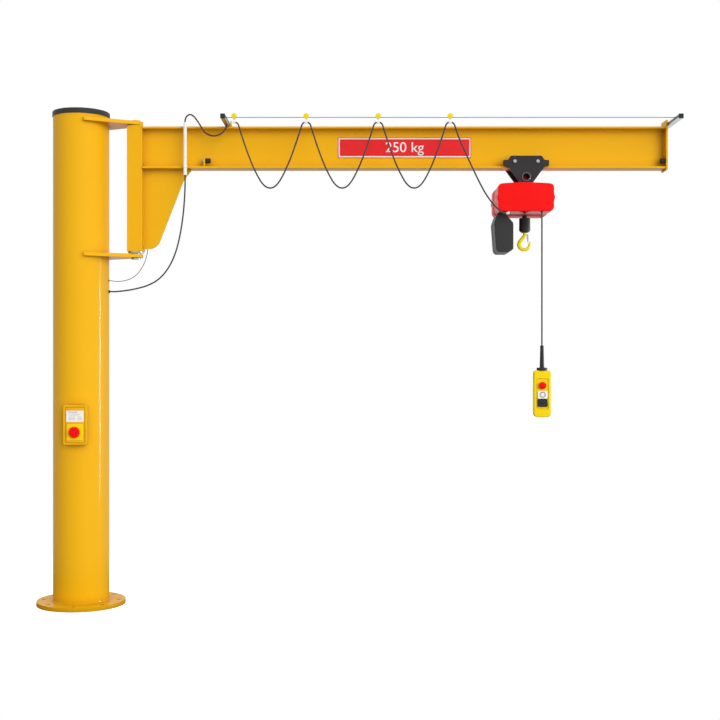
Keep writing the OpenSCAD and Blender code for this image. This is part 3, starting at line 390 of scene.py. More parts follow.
def dressed(node, material, slot, edge=0.0006, segments=2, name=None, only=None):
    """A CAD node's form with its triangles joined to flat faces and its edges broken; it stands for the node.
    only picks solids by a test on their centre."""
    form = bmesh.new()
    form.from_mesh(frame["nodes"][node].data)
    bmesh.ops.remove_doubles(form, verts=form.verts, dist=2e-6)
    if only:
        left, drop = set(form.verts), []
        while left:
            island, todo = set(), [left.pop()]
            while todo:
                v = todo.pop()
                island.add(v)
                beyond = {e.other_vert(v) for e in v.link_edges} & left
                left -= beyond
                todo += beyond
            middle = [(min(v.co[k] for v in island) + max(v.co[k] for v in island)) / 2 for k in range(3)]
            if not only(*middle):
                drop += island
        bmesh.ops.delete(form, geom=drop, context="VERTS")
    bmesh.ops.dissolve_limit(form, angle_limit=math.radians(0.6), verts=form.verts, edges=form.edges)
    mesh = bpy.data.meshes.new(name or node + "_finished")
    form.to_mesh(mesh)
    form.free()
    mesh.materials.append(material)
    mesh.shade_smooth()
    mesh.set_sharp_from_angle(angle=math.radians(30))
    obj = place(name or node + "_finished", mesh)
    if edge:
        edged(obj, edge, segments)
    return fitted(obj, frame["nodes"][node]["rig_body"], slot, node)


def turned(name, profile, centre, material, along=(0, 0, 1), steps=64, sharp=35, ring=False):
    """A piece turned about a line through centre. The profile is (radius, place along the line), from axis to
    axis, or a closed ring."""
    turn = Vector((0, 0, 1)).rotation_difference(Vector(along)).to_matrix()
    verts = [Vector(centre) + turn @ Vector((r * math.cos(2 * math.pi * k / steps),
                                             r * math.sin(2 * math.pi * k / steps), h))
             for r, h in profile for k in range(steps)]
    rows = len(profile)
    faces = [[i * steps + k, i * steps + (k + 1) % steps,
              (i + 1) % rows * steps + (k + 1) % steps, (i + 1) % rows * steps + k]
             for i in range(rows if ring else rows - 1) for k in range(steps)]
    return mesh_piece(name, verts, faces, material, sharp)


def arc(r, h, radius, start, stop, steps=6):
    """Profile points on a round of that radius about (r, h), from start to stop degrees."""
    angles = [math.radians(start + (stop - start) * k / steps) for k in range(steps + 1)]
    return [(r + radius * math.cos(a), h + radius * math.sin(a)) for a in angles]


def weld(name, points, size, body):
    """A rippled fillet weld along those points, under the golden coat."""
    path = []
    for a, b in zip(points, points[1:]):
        count = max(2, round((Vector(b) - Vector(a)).length / 0.004))
        path += [Vector(a).lerp(Vector(b), k / count) for k in range(count)]
    path.append(Vector(points[-1]))
    ripple = [size * (1 + 0.12 * math.sin(k * 1.9)) for k in range(len(path))]
    return fitted(swept(name, path, ripple, coat_yellow, 8), body, "column_paint")


COLUMN_R, ROUND_STEPS = 0.162, 160
COLUMN_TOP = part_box("column_tube")[1].z
FLANGE_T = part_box("base_flange")[1].z
dressed("base_flange", coat_yellow, "column_paint", edge=0.0018, segments=3)
fitted(turned("column_tube_finished",
              [(0, FLANGE_T), (COLUMN_R, FLANGE_T), (COLUMN_R, COLUMN_TOP), (0, COLUMN_TOP)],
              (0, 0, 0), coat_yellow, steps=ROUND_STEPS), "column", "column_paint", "column_tube")
FOOT_WELD = 0.004
fitted(turned("foot_weld", [(COLUMN_R - 0.003, FLANGE_T - 0.001), (COLUMN_R + FOOT_WELD, FLANGE_T - 0.001)]
              + arc(COLUMN_R + FOOT_WELD + 0.001, FLANGE_T + FOOT_WELD + 0.001, FOOT_WELD, 265, 185)
              + [(COLUMN_R - 0.003, FLANGE_T + FOOT_WELD)],
              (0, 0, 0), coat_yellow, steps=ROUND_STEPS, ring=True),
       "column", "column_paint")

low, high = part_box("column_cap")
CAP_R, CAP_EDGE, SPIGOT_R, SPIGOT_L, DISH = high.x, 0.007, COLUMN_R - 0.009, 0.02, 0.0015
fitted(turned("column_cap_finished",
              [(0, COLUMN_TOP - SPIGOT_L), (SPIGOT_R, COLUMN_TOP - SPIGOT_L), (SPIGOT_R, COLUMN_TOP),
               (CAP_R - 0.001, COLUMN_TOP), (CAP_R, COLUMN_TOP + 0.001)]
              + arc(CAP_R - CAP_EDGE, high.z - CAP_EDGE, CAP_EDGE, 0, 90, 8)
              + [(CAP_R - 0.03, high.z), (CAP_R - 0.034, high.z - DISH), (0, high.z - DISH)],
              (0, 0, 0), abs_grey, steps=ROUND_STEPS), "column", "dark_plastic", "column_cap")

# ---- Slewing bearing ----
# Two flame-cut plates grip the column and carry a pin each. The square post turns on them between a bright
# thrust washer below and a washer above. Plates and post share the column's coat; pins are zinc plated.

# Zinc plating on turned steel: bright bluish grey, clouded where the plating dulls.
zinc_plate = finish("zinc_plated_steel", "BFC3C6", 0.32, (90.0, 4.0), ("A5ABB0", "C3C7CA"), dull=(0.22, 0.42),
                    Metallic=1.0)

PIVOT_X, PIN_HEAD_R, PIN_HEAD_T = 0.322, 0.0275, 0.0079
UPPER_PLATE = COLUMN_TOP - 0.024    # top face of the upper bracket plate
BRACKET_WELD, WELD_SWEEP = 0.007, 66
dressed("bracket_plates", coat_yellow, "column_paint", edge=0.0012)
dressed("pivot_pins", zinc_plate, "zinc_steel", edge=0.001)
dressed("post_foot", zinc_plate, "zinc_steel", edge=0.001)
dressed("pivot_post", coat_yellow, "column_paint", edge=0.006, segments=4)
# the upper pin's head was coated with the plate
PIN_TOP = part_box("pivot_pins")[1].z
fitted(turned("upper_pin_head_coated",
              [(0, PIN_TOP - PIN_HEAD_T), (PIN_HEAD_R, PIN_TOP - PIN_HEAD_T)]
              + arc(PIN_HEAD_R - 0.002, PIN_TOP - 0.0018, 0.002, 0, 90, 4) + [(0, PIN_TOP + 0.0002)],
              (PIVOT_X, 0, 0), coat_yellow, steps=48), "column", "column_paint")
sweep = [math.radians(WELD_SWEEP * (i / 24 - 1)) for i in range(49)]
for k, z in enumerate((LOWER_PLATE, LOWER_PLATE - BRACKET_T, UPPER_PLATE, UPPER_PLATE - BRACKET_T)):
    weld(f"bracket_weld_{k + 1}",
         [((COLUMN_R + 0.001) * math.cos(a), (COLUMN_R + 0.001) * math.sin(a), z) for a in sweep],
         BRACKET_WELD, "column")

# ---- Switch box ----
# A yellow coated housing on a saddle that follows the tube. A groove parts its round-cornered rim from a
# panel, which carries a printed label plate and a signal yellow plate with the red rotary main switch.

# Moulded polycarbonate in signal yellow: glossy, slightly uneven where the melt met.
signal_yellow = finish("moulded_polycarbonate_yellow", "F8D90C", 0.35, (25.0, 2.0), ("F5D608", "FADC10"),
                       bump=(0.05, 0.001), IOR=1.58, Specular_IOR_Level=0.12)

# Moulded ABS in switch red: satin, with small differences of depth in the colour.
switch_red = finish("moulded_abs_red", "FF0505", 0.4, (80.0, 2.0), ("FC0404", "FF0909"), IOR=1.54,
                    Specular_IOR_Level=0.14)

# Moulded polyamide in white: satin, faintly clouded.
nylon_white = finish("moulded_polyamide_white", "F2F2EE", 0.45, (60.0, 3.0), ("EDEDE9", "F8F8F5"), IOR=1.53)

# Moulded neoprene: black, matt, faintly mottled.
neoprene = finish("moulded_neoprene_black", "2C2C2D", 0.6, (140.0, 4.0), ("282829", "343436"),
                  bump=(0.2, 0.0006), IOR=1.56, Specular_IOR_Level=0.18)


def outline(points, radii, steps=6):
    """A flat outline with each corner rounded by its radius."""
    made = []
    for i, corner in enumerate(points):
        corner = Vector(corner)
        if not radii[i]:
            made.append(corner)
            continue
        back = (Vector(points[i - 1]) - corner).normalized()
        ahead = (Vector(points[(i + 1) % len(points)]) - corner).normalized()
        half = math.acos(max(-1, min(1, back.dot(ahead)))) / 2
        centre = corner + (back + ahead).normalized() * radii[i] / math.sin(half)
        first = corner + back * radii[i] / math.tan(half) - centre
        last = corner + ahead * radii[i] / math.tan(half) - centre
        turn = first.angle_signed(last)
        for k in range(steps + 1):
            a = -turn * k / steps
            made.append(centre + Vector((first.x * math.cos(a) - first.y * math.sin(a),
                                         first.x * math.sin(a) + first.y * math.cos(a))))
    return made


def slab(name, shape, front, back, material, sharp=30):
    """An outline in X and Z as a solid from y = front to y = back."""
    n = len(shape)
    verts = [(p.x, y, p.y) for y in (front, back) for p in shape]
    faces = [list(range(n)), list(range(n, 2 * n))]
    faces += [[i, (i + 1) % n, n + (i + 1) % n, n + i] for i in range(n)]
    return mesh_piece(name, verts, faces, material, sharp)


def oblong(x, z, width, height, radius, steps=6):
    """A rounded rectangle about (x, z)."""
    w, h = width / 2, height / 2
    return outline([(x - w, z - h), (x + w, z - h), (x + w, z + h), (x - w, z + h)], [radius] * 4, steps)


def cut(obj, *tools):
    """obj less the tools, which are used up."""
    for tool in tools:
        less = obj.modifiers.new("cut", "BOOLEAN")
        less.object = tool
        less.solver = "EXACT"
        settled(obj)
        bpy.data.objects.remove(tool)
    return obj


def lettering(name, words, size, centre, material, depth=0.0004):
    """Plain capitals as thin raised print on a face that looks to the front."""
    curve = bpy.data.curves.new(name, "FONT")
    curve.body, curve.size, curve.extrude = words, size, depth / 2
    curve.align_x, curve.align_y = "CENTER", "CENTER"
    obj = place(name, curve)
    mesh = bpy.data.meshes.new_from_object(obj.evaluated_get(bpy.context.evaluated_depsgraph_get()))
    bpy.data.objects.remove(obj)
    stand = Matrix.Translation(centre) @ Matrix.Rotation(math.radians(90), 4, "X")
    verts = [stand @ v.co for v in mesh.vertices]
    return mesh_piece(name, verts, [list(p.vertices) for p in mesh.polygons], material)


low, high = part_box("switch_box")
BOX_X, BOX_Z, BOX_FRONT = (low.x + high.x) / 2, (low.z + high.z) / 2, low.y
BOX_W, BOX_H = high.x - low.x, high.z - low.z
BOX_RECESS, BOX_RIM, BOX_BACK, GROOVE_W, GROOVE_D = 0.0015, 0.011, -0.165, 0.003, 0.005
box_body = slab("switch_box_finished", oblong(BOX_X, BOX_Z, BOX_W, BOX_H, 0.014), BOX_FRONT, BOX_BACK,
                coat_yellow)
edged(box_body, 0.0035, 3)
inner_w, inner_h = BOX_W - 2 * BOX_RIM, BOX_H - 2 * BOX_RIM
inside = oblong(BOX_X, BOX_Z, inner_w, inner_h, 0.007)
island = oblong(BOX_X, BOX_Z, inner_w - 2 * GROOVE_W, inner_h - 2 * GROOVE_W, 0.004)
groove = slab("groove", inside, -0.3, BOX_FRONT + GROOVE_D, coat_yellow)
cut(groove, slab("island", island, -0.4, -0.1, coat_yellow))
cut(box_body, slab("recess", inside, -0.3, BOX_FRONT + BOX_RECESS, coat_yellow), groove)
edged(box_body, 0.0006)
fitted(box_body, "column", "column_paint", "switch_box")
saddle = slab("switch_box_saddle", oblong(BOX_X, BOX_Z, 0.09, 0.16, 0.006), BOX_BACK + 0.0002, -0.14,
              coat_yellow)
cut(saddle, turned("tube_space", [(0, 0.5), (COLUMN_R + 0.0002, 0.5), (COLUMN_R + 0.0002, 1.5), (0, 1.5)],
                   (0, 0, 0), coat_yellow, steps=ROUND_STEPS))
fitted(saddle, "column", "column_paint", "switch_box")

switch_low, switch_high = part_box("switch_plate")
PLATE_SPLIT = (switch_low.z + switch_high.z) / 2
dressed("switch_plate", signal_yellow, "signal_plastic", edge=0.0008, name="switch_plate_yellow",
        only=lambda x, y, z: z < PLATE_SPLIT)
dressed("switch_plate", nylon_white, "white_plastic", edge=0.0003, name="label_plate_white",
        only=lambda x, y, z: z > PLATE_SPLIT)

# Screen-printing ink: flat dark grey, slightly starved in places.
print_ink = finish("screen_print_ink_grey", "8A8B8E", 0.6, (400.0, 2.0), ("77787B", "A5A6A8"), IOR=1.45)
# printed rows on the label plate, as plain bars
LABEL_FRONT, LABEL_TOP = BOX_FRONT + BOX_RECESS - 0.001, switch_high.z
rows = [(-0.012, 0.006, 0.052, 0.004), (-0.003, 0.017, 0.072, 0.0016), (-0.008, 0.024, 0.06, 0.0016),
        (-0.018, 0.034, 0.04, 0.002), (0.026, 0.034, 0.026, 0.002), (-0.018, 0.042, 0.04, 0.002),
        (0.026, 0.042, 0.026, 0.002), (-0.018, 0.05, 0.04, 0.002), (0.026, 0.05, 0.026, 0.002)]
for k, (x, down, width, height) in enumerate(rows):
    fitted(slab(f"label_print_{k + 1}", oblong(BOX_X + x, LABEL_TOP - 0.002 - down, width, height, 0.0004, 1),
                LABEL_FRONT - 0.0002, LABEL_FRONT + 0.0002, print_ink), "column", "white_plastic")

# The knob: a flat-topped mushroom with finger flutes round its edge and three arrow marks on its face.
low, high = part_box("rotary_knob")
KNOB_X, KNOB_Z, KNOB_R, KNOB_H = (low.x + high.x) / 2, (low.z + high.z) / 2, (high.x - low.x) / 2, 0.012
KNOB_BACK = BOX_FRONT + BOX_RECESS - 0.0032
knob_rows = [(0.014, KNOB_BACK), (0.014, low.y + KNOB_H), (KNOB_R - 0.0015, low.y + KNOB_H)]
knob_rows += [(KNOB_R - 0.005 + 0.005 * math.cos(a), low.y + 0.0075 - 0.0075 * math.sin(a))
              for a in [math.pi / 2 * k / 6 for k in range(7)]] + [(0.02, low.y - 0.0001), (0.004, low.y)]
knob_rings = []
for radius, y in knob_rows:
    flute = 0.0008 if radius > KNOB_R - 0.004 else 0
    knob_rings.append([(KNOB_X + (radius - flute * (1 + math.cos(12 * a))) * math.cos(a), y,
                        KNOB_Z + (radius - flute * (1 + math.cos(12 * a))) * math.sin(a))
                       for a in [math.tau * k / 96 for k in range(96)]])


def lofted(name, rings, material, sharp=35):
    """A closed skin through rings of points, with flat ends."""
    n = len(rings[0])
    faces = [[i * n + k, i * n + (k + 1) % n, (i + 1) * n + (k + 1) % n, (i + 1) * n + k]
             for i in range(len(rings) - 1) for k in range(n)]
    faces += [list(range(n)), [(len(rings) - 1) * n + k for k in range(n)]]
    return mesh_piece(name, [p for one in rings for p in one], faces, material, sharp)


fitted(lofted("rotary_knob_cap", knob_rings, switch_red), "knob", "red_plastic", "rotary_knob")
# Filled marks in a darker red ABS: satin, hardly mottled.
mark_red = finish("moulded_abs_dark_red", "A81218", 0.5, (300.0, 2.0), ("9C0F15", "B4151C"), IOR=1.54,
                  Specular_IOR_Level=0.2)
ARROW_R, SHAFT_HALF, HEAD_HALF = 0.0155, 0.002, 0.005


def on_knob(r, a):
    """The place at that radius and angle on the knob's face."""
    return Vector((KNOB_X + r * math.cos(a), KNOB_Z + r * math.sin(a)))


for k in range(3):
    mid = math.radians(-20 + 120 * k)
    spread = [mid + math.radians(-32 + 64 * i / 8) for i in range(9)]
    inner = [on_knob(ARROW_R - SHAFT_HALF, a) for a in spread]
    outer = [on_knob(ARROW_R + SHAFT_HALF, a) for a in spread]
    head = [on_knob(ARROW_R - HEAD_HALF, spread[-1]), on_knob(ARROW_R, spread[-1] + math.radians(16)),
            on_knob(ARROW_R + HEAD_HALF, spread[-1])]
    fitted(slab(f"rotary_knob_arrow_{k + 1}", inner + head + outer[::-1], low.y - 0.0003, low.y + 0.0006,
                mark_red), "knob", "red_plastic")
dressed("column_glands", neoprene, "black_rubber", edge=0.0012)

# ---- Arm ----
# A hot-rolled 244 mm I-beam closed by an end plate. A flame-cut gusset carries it, welded to it and the post.
# Stop plates stand on its lower flange, each with a rubber buffer that a zinc plated bolt holds.
low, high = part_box("jib_beam")
POST_FACE, BEAM_END, BEAM_FOOT, FLANGE_HALF, WEB_HALF = low.x, high.x, low.z, high.y, 0.0035
for name, edge in (("jib_beam", 0.0008), ("gusset_plate", 0.0012), ("beam_end_plate", 0.0012),
                   ("end_stops", 0.001)):
    dressed(name, coat_yellow, "column_paint", edge)
gusset_low, gusset_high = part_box("gusset_plate")
GUSSET_HALF, ARM_WELD = gusset_high.y, 0.007
for side, word in ((-1, "front"), (1, "back")):
    y = side * (GUSSET_HALF + 0.001)
    weld(f"gusset_post_weld_{word}", [(POST_FACE + 0.001, y, gusset_low.z + 0.012),
                                      (POST_FACE + 0.001, y, BEAM_FOOT - 0.002)], ARM_WELD, "jib")
    weld(f"gusset_beam_weld_{word}", [(POST_FACE + 0.004, y, BEAM_FOOT - 0.001),
                                      (gusset_high.x - 0.012, y, BEAM_FOOT - 0.001)], ARM_WELD, "jib")
    y = side * (WEB_HALF + 0.001)
    for place_x, end_name in ((POST_FACE + 0.001, "post"), (BEAM_END - 0.001, "end_plate")):
        weld(f"web_{end_name}_weld_{word}", [(place_x, y, BEAM_FOOT + 0.024), (place_x, y, BEAM_TOP - 0.024)],
             ARM_WELD, "jib")
weld("flange_post_weld_top", [(POST_FACE + 0.001, y, BEAM_TOP + 0.001) for y in (-0.04, 0.04)], ARM_WELD,
     "jib")


def node_tree(name, **inputs):
    """A Geometry Nodes tree with those named inputs; returns it and the outputs that give them."""
    tree = bpy.data.node_groups.new(name, "GeometryNodeTree")
    tree.interface.new_socket("Geometry", in_out="INPUT", socket_type="NodeSocketGeometry")
    for label, kind in inputs.items():
        tree.interface.new_socket(label.replace("_", " "), in_out="INPUT", socket_type="NodeSocket" + kind)
    tree.interface.new_socket("Geometry", in_out="OUTPUT", socket_type="NodeSocketGeometry")
    return tree, tree.nodes.new("NodeGroupInput").outputs


def grow_out(tree, copies, material):
    """The last nodes of a tree: its copies made real, in that material, as its output."""
    real = add_node(tree, "GeometryNodeRealizeInstances", Geometry=copies)
    coated = add_node(tree, "GeometryNodeSetMaterial", Geometry=real, Material=material)
    add_node(tree, "NodeGroupOutput", Geometry=coated)


def grown(name, tree, seeds, sharp=35, **values):
    """The piece that the tree grows from those seed points with those values."""
    mesh = bpy.data.meshes.new(name)
    mesh.from_pydata([tuple(p) for p in seeds], [], [])
    obj = place(name, mesh)
    modifier = obj.modifiers.new(tree.name, "NODES")
    modifier.node_group = tree
    for socket in tree.interface.items_tree:
        label = socket.name.replace(" ", "_")
        if socket.in_out == "INPUT" and label in values:
            modifier[socket.identifier] = values[label]
    settled(obj)
    obj.data.name = name
    obj.data.shade_smooth()
    obj.data.set_sharp_from_angle(angle=math.radians(sharp))
    return obj


# A hexagon head with its chamfer, on a washer, at each seed point
bolt_tree, given = node_tree("hexagon_bolts", Across_Flats="Float", Head_Height="Float",
                             Washer_Radius="Float", Washer_Height="Float", Towards="Vector",
                             Finish="Material")
half = add_node(bolt_tree, "ShaderNodeMath", {"operation": "DIVIDE"}, _0=given["Across Flats"],
                _1=math.sqrt(3))
flat = add_node(bolt_tree, "ShaderNodeMath", {"operation": "DIVIDE"}, _0=given["Across Flats"], _1=2.0)
flat_top = add_node(bolt_tree, "ShaderNodeMath", {"operation": "MULTIPLY"}, _0=flat, _1=0.88)
body_h = add_node(bolt_tree, "ShaderNodeMath", {"operation": "MULTIPLY"}, _0=given["Head Height"], _1=0.86)
cone_h = add_node(bolt_tree, "ShaderNodeMath", {"operation": "MULTIPLY"}, _0=given["Head Height"], _1=0.16)
washer = add_node(bolt_tree, "GeometryNodeMeshCylinder", Vertices=32, Radius=given["Washer Radius"],
                  Depth=given["Washer Height"])
head = add_node(bolt_tree, "GeometryNodeMeshCylinder", Vertices=6, Radius=half, Depth=body_h)
cone = add_node(bolt_tree, "GeometryNodeMeshCone", Vertices=24, Radius_Bottom=flat,
                Radius_Top=flat_top, Depth=cone_h)
half_h = add_node(bolt_tree, "ShaderNodeMath", {"operation": "DIVIDE"}, _0=body_h, _1=2.0)
head_up = add_node(bolt_tree, "ShaderNodeMath", {"operation": "ADD"}, _0=half_h, _1=given["Washer Height"])
cone_up = add_node(bolt_tree, "ShaderNodeMath", {"operation": "ADD"}, _0=body_h, _1=given["Washer Height"])
washer_up = add_node(bolt_tree, "ShaderNodeMath", {"operation": "DIVIDE"}, _0=given["Washer Height"], _1=2.0)
stack = add_node(bolt_tree, "GeometryNodeJoinGeometry")
for part, up in ((washer, washer_up), (head, head_up), (cone, cone_up)):
    lifted = add_node(bolt_tree, "ShaderNodeCombineXYZ", Z=up)
    moved = add_node(bolt_tree, "GeometryNodeTransform", Geometry=part, Translation=lifted)
    bolt_tree.links.new(moved.outputs[0], stack.inputs[0])
turn = add_node(bolt_tree, "FunctionNodeAlignRotationToVector", {"axis": "Z"}, Vector=given["Towards"])
copies = add_node(bolt_tree, "GeometryNodeInstanceOnPoints", Points=given["Geometry"], Instance=stack,
                  Rotation=turn)
grow_out(bolt_tree, copies, given["Finish"])


def bolted(name, body, seats, towards, flats, head, washer, thick, *nodes):
    """Zinc plated bolt heads, or nuts, at those seats: their size across flats, their height, and the radius
    and thickness of their washers."""
    heads = grown(name, bolt_tree, seats, Across_Flats=flats, Head_Height=head, Washer_Radius=washer,
                  Washer_Height=thick, Towards=towards, Finish=zinc_plate)
    return fitted(heads, body, "zinc_steel", *nodes)


buffer_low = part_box("stop_buffers")[0]
stop_low, stop_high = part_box("end_stops")
STOP_Y, STOP_Z, BUFFER_R, BUFFER_L = (stop_high.y + 0.024) / 2, buffer_low.z + 0.0155, 0.0155, 0.031
END_PLATE_T = 0.01
for k, (face, towards, bolt_face) in enumerate(((stop_high.x, 1, stop_low.x),
                                                (BEAM_END, -1, BEAM_END + END_PLATE_T))):
    for side, word in ((-1, "front"), (1, "back")):
        fitted(turned(f"stop_buffer_{k + 1}_{word}",
                      [(0, 0), (BUFFER_R, 0), (BUFFER_R, 0.003), (BUFFER_R - 0.001, 0.0045),
                       (BUFFER_R - 0.0015, BUFFER_L - 0.009)]
                      + arc(BUFFER_R - 0.0065, BUFFER_L - 0.006, 0.006, 0, 90) + [(0, BUFFER_L)],
                      (face, side * STOP_Y, STOP_Z), neoprene, along=(towards, 0, 0), steps=40),
               "jib", "black_rubber", "stop_buffers")
    bolted(f"stop_bolts_{k + 1}", "jib", [(bolt_face, side * STOP_Y, STOP_Z) for side in (-1, 1)],
           (-towards, 0, 0), 0.015, 0.0055, 0.0095, 0.0015, "stop_buffers")

# A red enamelled plate on the web with a white border and the rated load, in plain figures.
# Vitreous enamel on sheet steel: deep glossy red, very smooth, with faint waves in its skin.
plate_enamel = finish("vitreous_enamel_red", "E81A20", 0.2, (18.0, 1.0), ("E4171D", "EC1F24"),
                      bump=(0.06, 0.002), IOR=1.5, Specular_IOR_Level=0.3)
SIGN_X, SIGN_Z, SIGN_W, SIGN_H, SIGN_T = 1.904, 2.6845, 0.784, 0.121, 0.002
sign_face = -WEB_HALF - SIGN_T
sign = slab("load_plate", oblong(SIGN_X, SIGN_Z, SIGN_W, SIGN_H, 0.006), sign_face, -WEB_HALF + 0.0005,
            plate_enamel)
fitted(edged(sign, 0.0005), "jib", "red_plastic")
border = slab("load_plate_border", oblong(SIGN_X, SIGN_Z, SIGN_W - 0.008, SIGN_H - 0.008, 0.005),
              sign_face - 0.0004, sign_face + 0.0004, nylon_white)
cut(border, slab("border_space", oblong(SIGN_X, SIGN_Z, SIGN_W - 0.022, SIGN_H - 0.022, 0.003), -0.05, 0.05,
                 nylon_white))
fitted(border, "jib", "white_plastic")
fitted(lettering("load_plate_figures", "250 kg", 0.085, (SIGN_X, sign_face, SIGN_Z), nylon_white,
                 depth=0.0008), "jib", "white_plastic")

# ---- Cable line ----
# Two galvanised C-rails bolted across the beam hold a taut steel wire beside it. Yellow rollers run along the
# wire and carry the hangers, whose white clips hold the flex in loops. A white conduit brings the flex up.

# Black moulded polyamide: satin, with a faint grain from the mould.
nylon_black = finish("moulded_polyamide_black", "1C1C1D", 0.5, (300.0, 2.0), ("18181A", "242426"),
                     bump=(0.15, 0.0004), IOR=1.53, Specular_IOR_Level=0.3)

dressed("wire_arms", zinc_plate, "zinc_steel", edge=0.0006)
dressed("arm_end_caps", nylon_black, "black_plastic", edge=0.001)
arm_low, arm_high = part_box("wire_arms")
ARM_W, ARM_MID, SLOT_H = 0.026, (arm_low.z + arm_high.z) / 2, 0.01
for name, slot_x, towards in (("inner", arm_low.x + ARM_W, 1), ("outer", arm_high.x - ARM_W, -1)):
    # a black strip in the rail's slot: painted shade, standing in for the dark inside of the slot
    for part, y_from, y_to in (("reach", arm_low.y + 0.001, WIRE_Y - 0.006),
                               ("root", WIRE_Y + 0.006, FLANGE_HALF - 0.001)):
        section = oblong(slot_x - towards * 0.0015, ARM_MID, 0.0035, SLOT_H - 0.0004, 0.0006, 2)
        fitted(slab(f"slot_strip_{name}_{part}", section, y_from, y_to, nylon_black), "jib", "black_plastic")
    seats = [(slot_x - towards * ARM_W / 2, y, arm_high.z) for y in (-0.026, 0.026)]
    bolted(f"arm_bolts_{name}", "jib", seats, (0, 0, 1), 0.013, 0.0055, 0.0095, 0.0016)
# a lug welded on the flange keeps the inner arm square
lug_x, LUG_TOP = arm_low.x + ARM_W + 0.001, BEAM_TOP + 0.035
lug = slab("arm_lug", outline([(lug_x, BEAM_TOP), (lug_x + 0.012, BEAM_TOP), (lug_x + 0.009, LUG_TOP),
                               (lug_x + 0.004, LUG_TOP)], [0, 0, 0.002, 0.002]),
           -FLANGE_HALF + 0.002, -FLANGE_HALF + 0.014, coat_yellow)
fitted(edged(lug, 0.0008), "jib", "column_paint")

# Drawn galvanised steel wire: duller and greyer than plating.
wire_steel = finish("galvanised_steel_wire", "5E6163", 0.5, (150.0, 3.0), ("525557", "6C6F71"),
                    dull=(0.4, 0.6), Metallic=1.0)

# A rope of six strands laid round each other, from one point to the other
rope_tree, given = node_tree("stranded_rope", From="Vector", To="Vector", Diameter="Float", Lay="Float",
                             Strands="Int", Finish="Material")
core = add_node(rope_tree, "GeometryNodeCurvePrimitiveLine", Start=given["From"], End=given["To"])
step = add_node(rope_tree, "ShaderNodeMath", {"operation": "DIVIDE"}, _0=given["Lay"], _1=12.0)
run_of = add_node(rope_tree, "GeometryNodeResampleCurve", {"mode": "LENGTH"}, Curve=core, Length=step)
along = add_node(rope_tree, "GeometryNodeSplineParameter")
turns = add_node(rope_tree, "ShaderNodeMath", {"operation": "DIVIDE"}, _0=along.outputs["Length"],
                 _1=given["Lay"])
twist = add_node(rope_tree, "ShaderNodeMath", {"operation": "MULTIPLY"}, _0=turns, _1=math.tau)
laid = add_node(rope_tree, "GeometryNodeSetCurveTilt", Curve=run_of, Tilt=twist)
radius = add_node(rope_tree, "ShaderNodeMath", {"operation": "DIVIDE"}, _0=given["Diameter"], _1=2.0)
ring = add_node(rope_tree, "GeometryNodeCurvePrimitiveCircle", Resolution=24, Radius=radius)
round_ring = add_node(rope_tree, "GeometryNodeSplineParameter")
lobes = add_node(rope_tree, "ShaderNodeMath", {"operation": "MULTIPLY"}, _0=round_ring.outputs["Factor"],
                 _1=given["Strands"])
phase = add_node(rope_tree, "ShaderNodeMath", {"operation": "MULTIPLY"}, _0=lobes, _1=math.pi)
bulge = add_node(rope_tree, "ShaderNodeMath", {"operation": "SINE"}, _0=phase)
bulge = add_node(rope_tree, "ShaderNodeMath", {"operation": "ABSOLUTE"}, _0=bulge)
swell = add_node(rope_tree, "ShaderNodeMapRange", Value=bulge, To_Min=0.76, To_Max=1.0)
at = add_node(rope_tree, "GeometryNodeInputPosition")
lobed = add_node(rope_tree, "ShaderNodeVectorMath", {"operation": "SCALE"}, _0=at, Scale=swell)
star = add_node(rope_tree, "GeometryNodeSetPosition", Geometry=ring, Position=lobed)
skin = add_node(rope_tree, "GeometryNodeCurveToMesh", Curve=laid, Profile_Curve=star, Fill_Caps=True)
grow_out(rope_tree, skin, given["Finish"])

wire_low, wire_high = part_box("guide_wire")
WIRE_Z, WIRE_D = (wire_low.z + wire_high.z) / 2, 0.004
wire = grown("guide_wire_rope", rope_tree, [(0, 0, 0)], From=(wire_low.x, WIRE_Y, WIRE_Z),
             To=(wire_high.x, WIRE_Y, WIRE_Z), Diameter=WIRE_D, Lay=0.036, Strands=6, Finish=wire_steel)
fitted(wire, "jib", "wire_steel", "guide_wire")
for k, (x, towards) in enumerate(((arm_low.x, -1), (arm_high.x, 1))):
    bolted(f"wire_nut_{k + 1}", "jib", [(x, WIRE_Y, WIRE_Z)], (towards, 0, 0), 0.01, 0.005, 0.007, 0.001,
           "guide_wire")

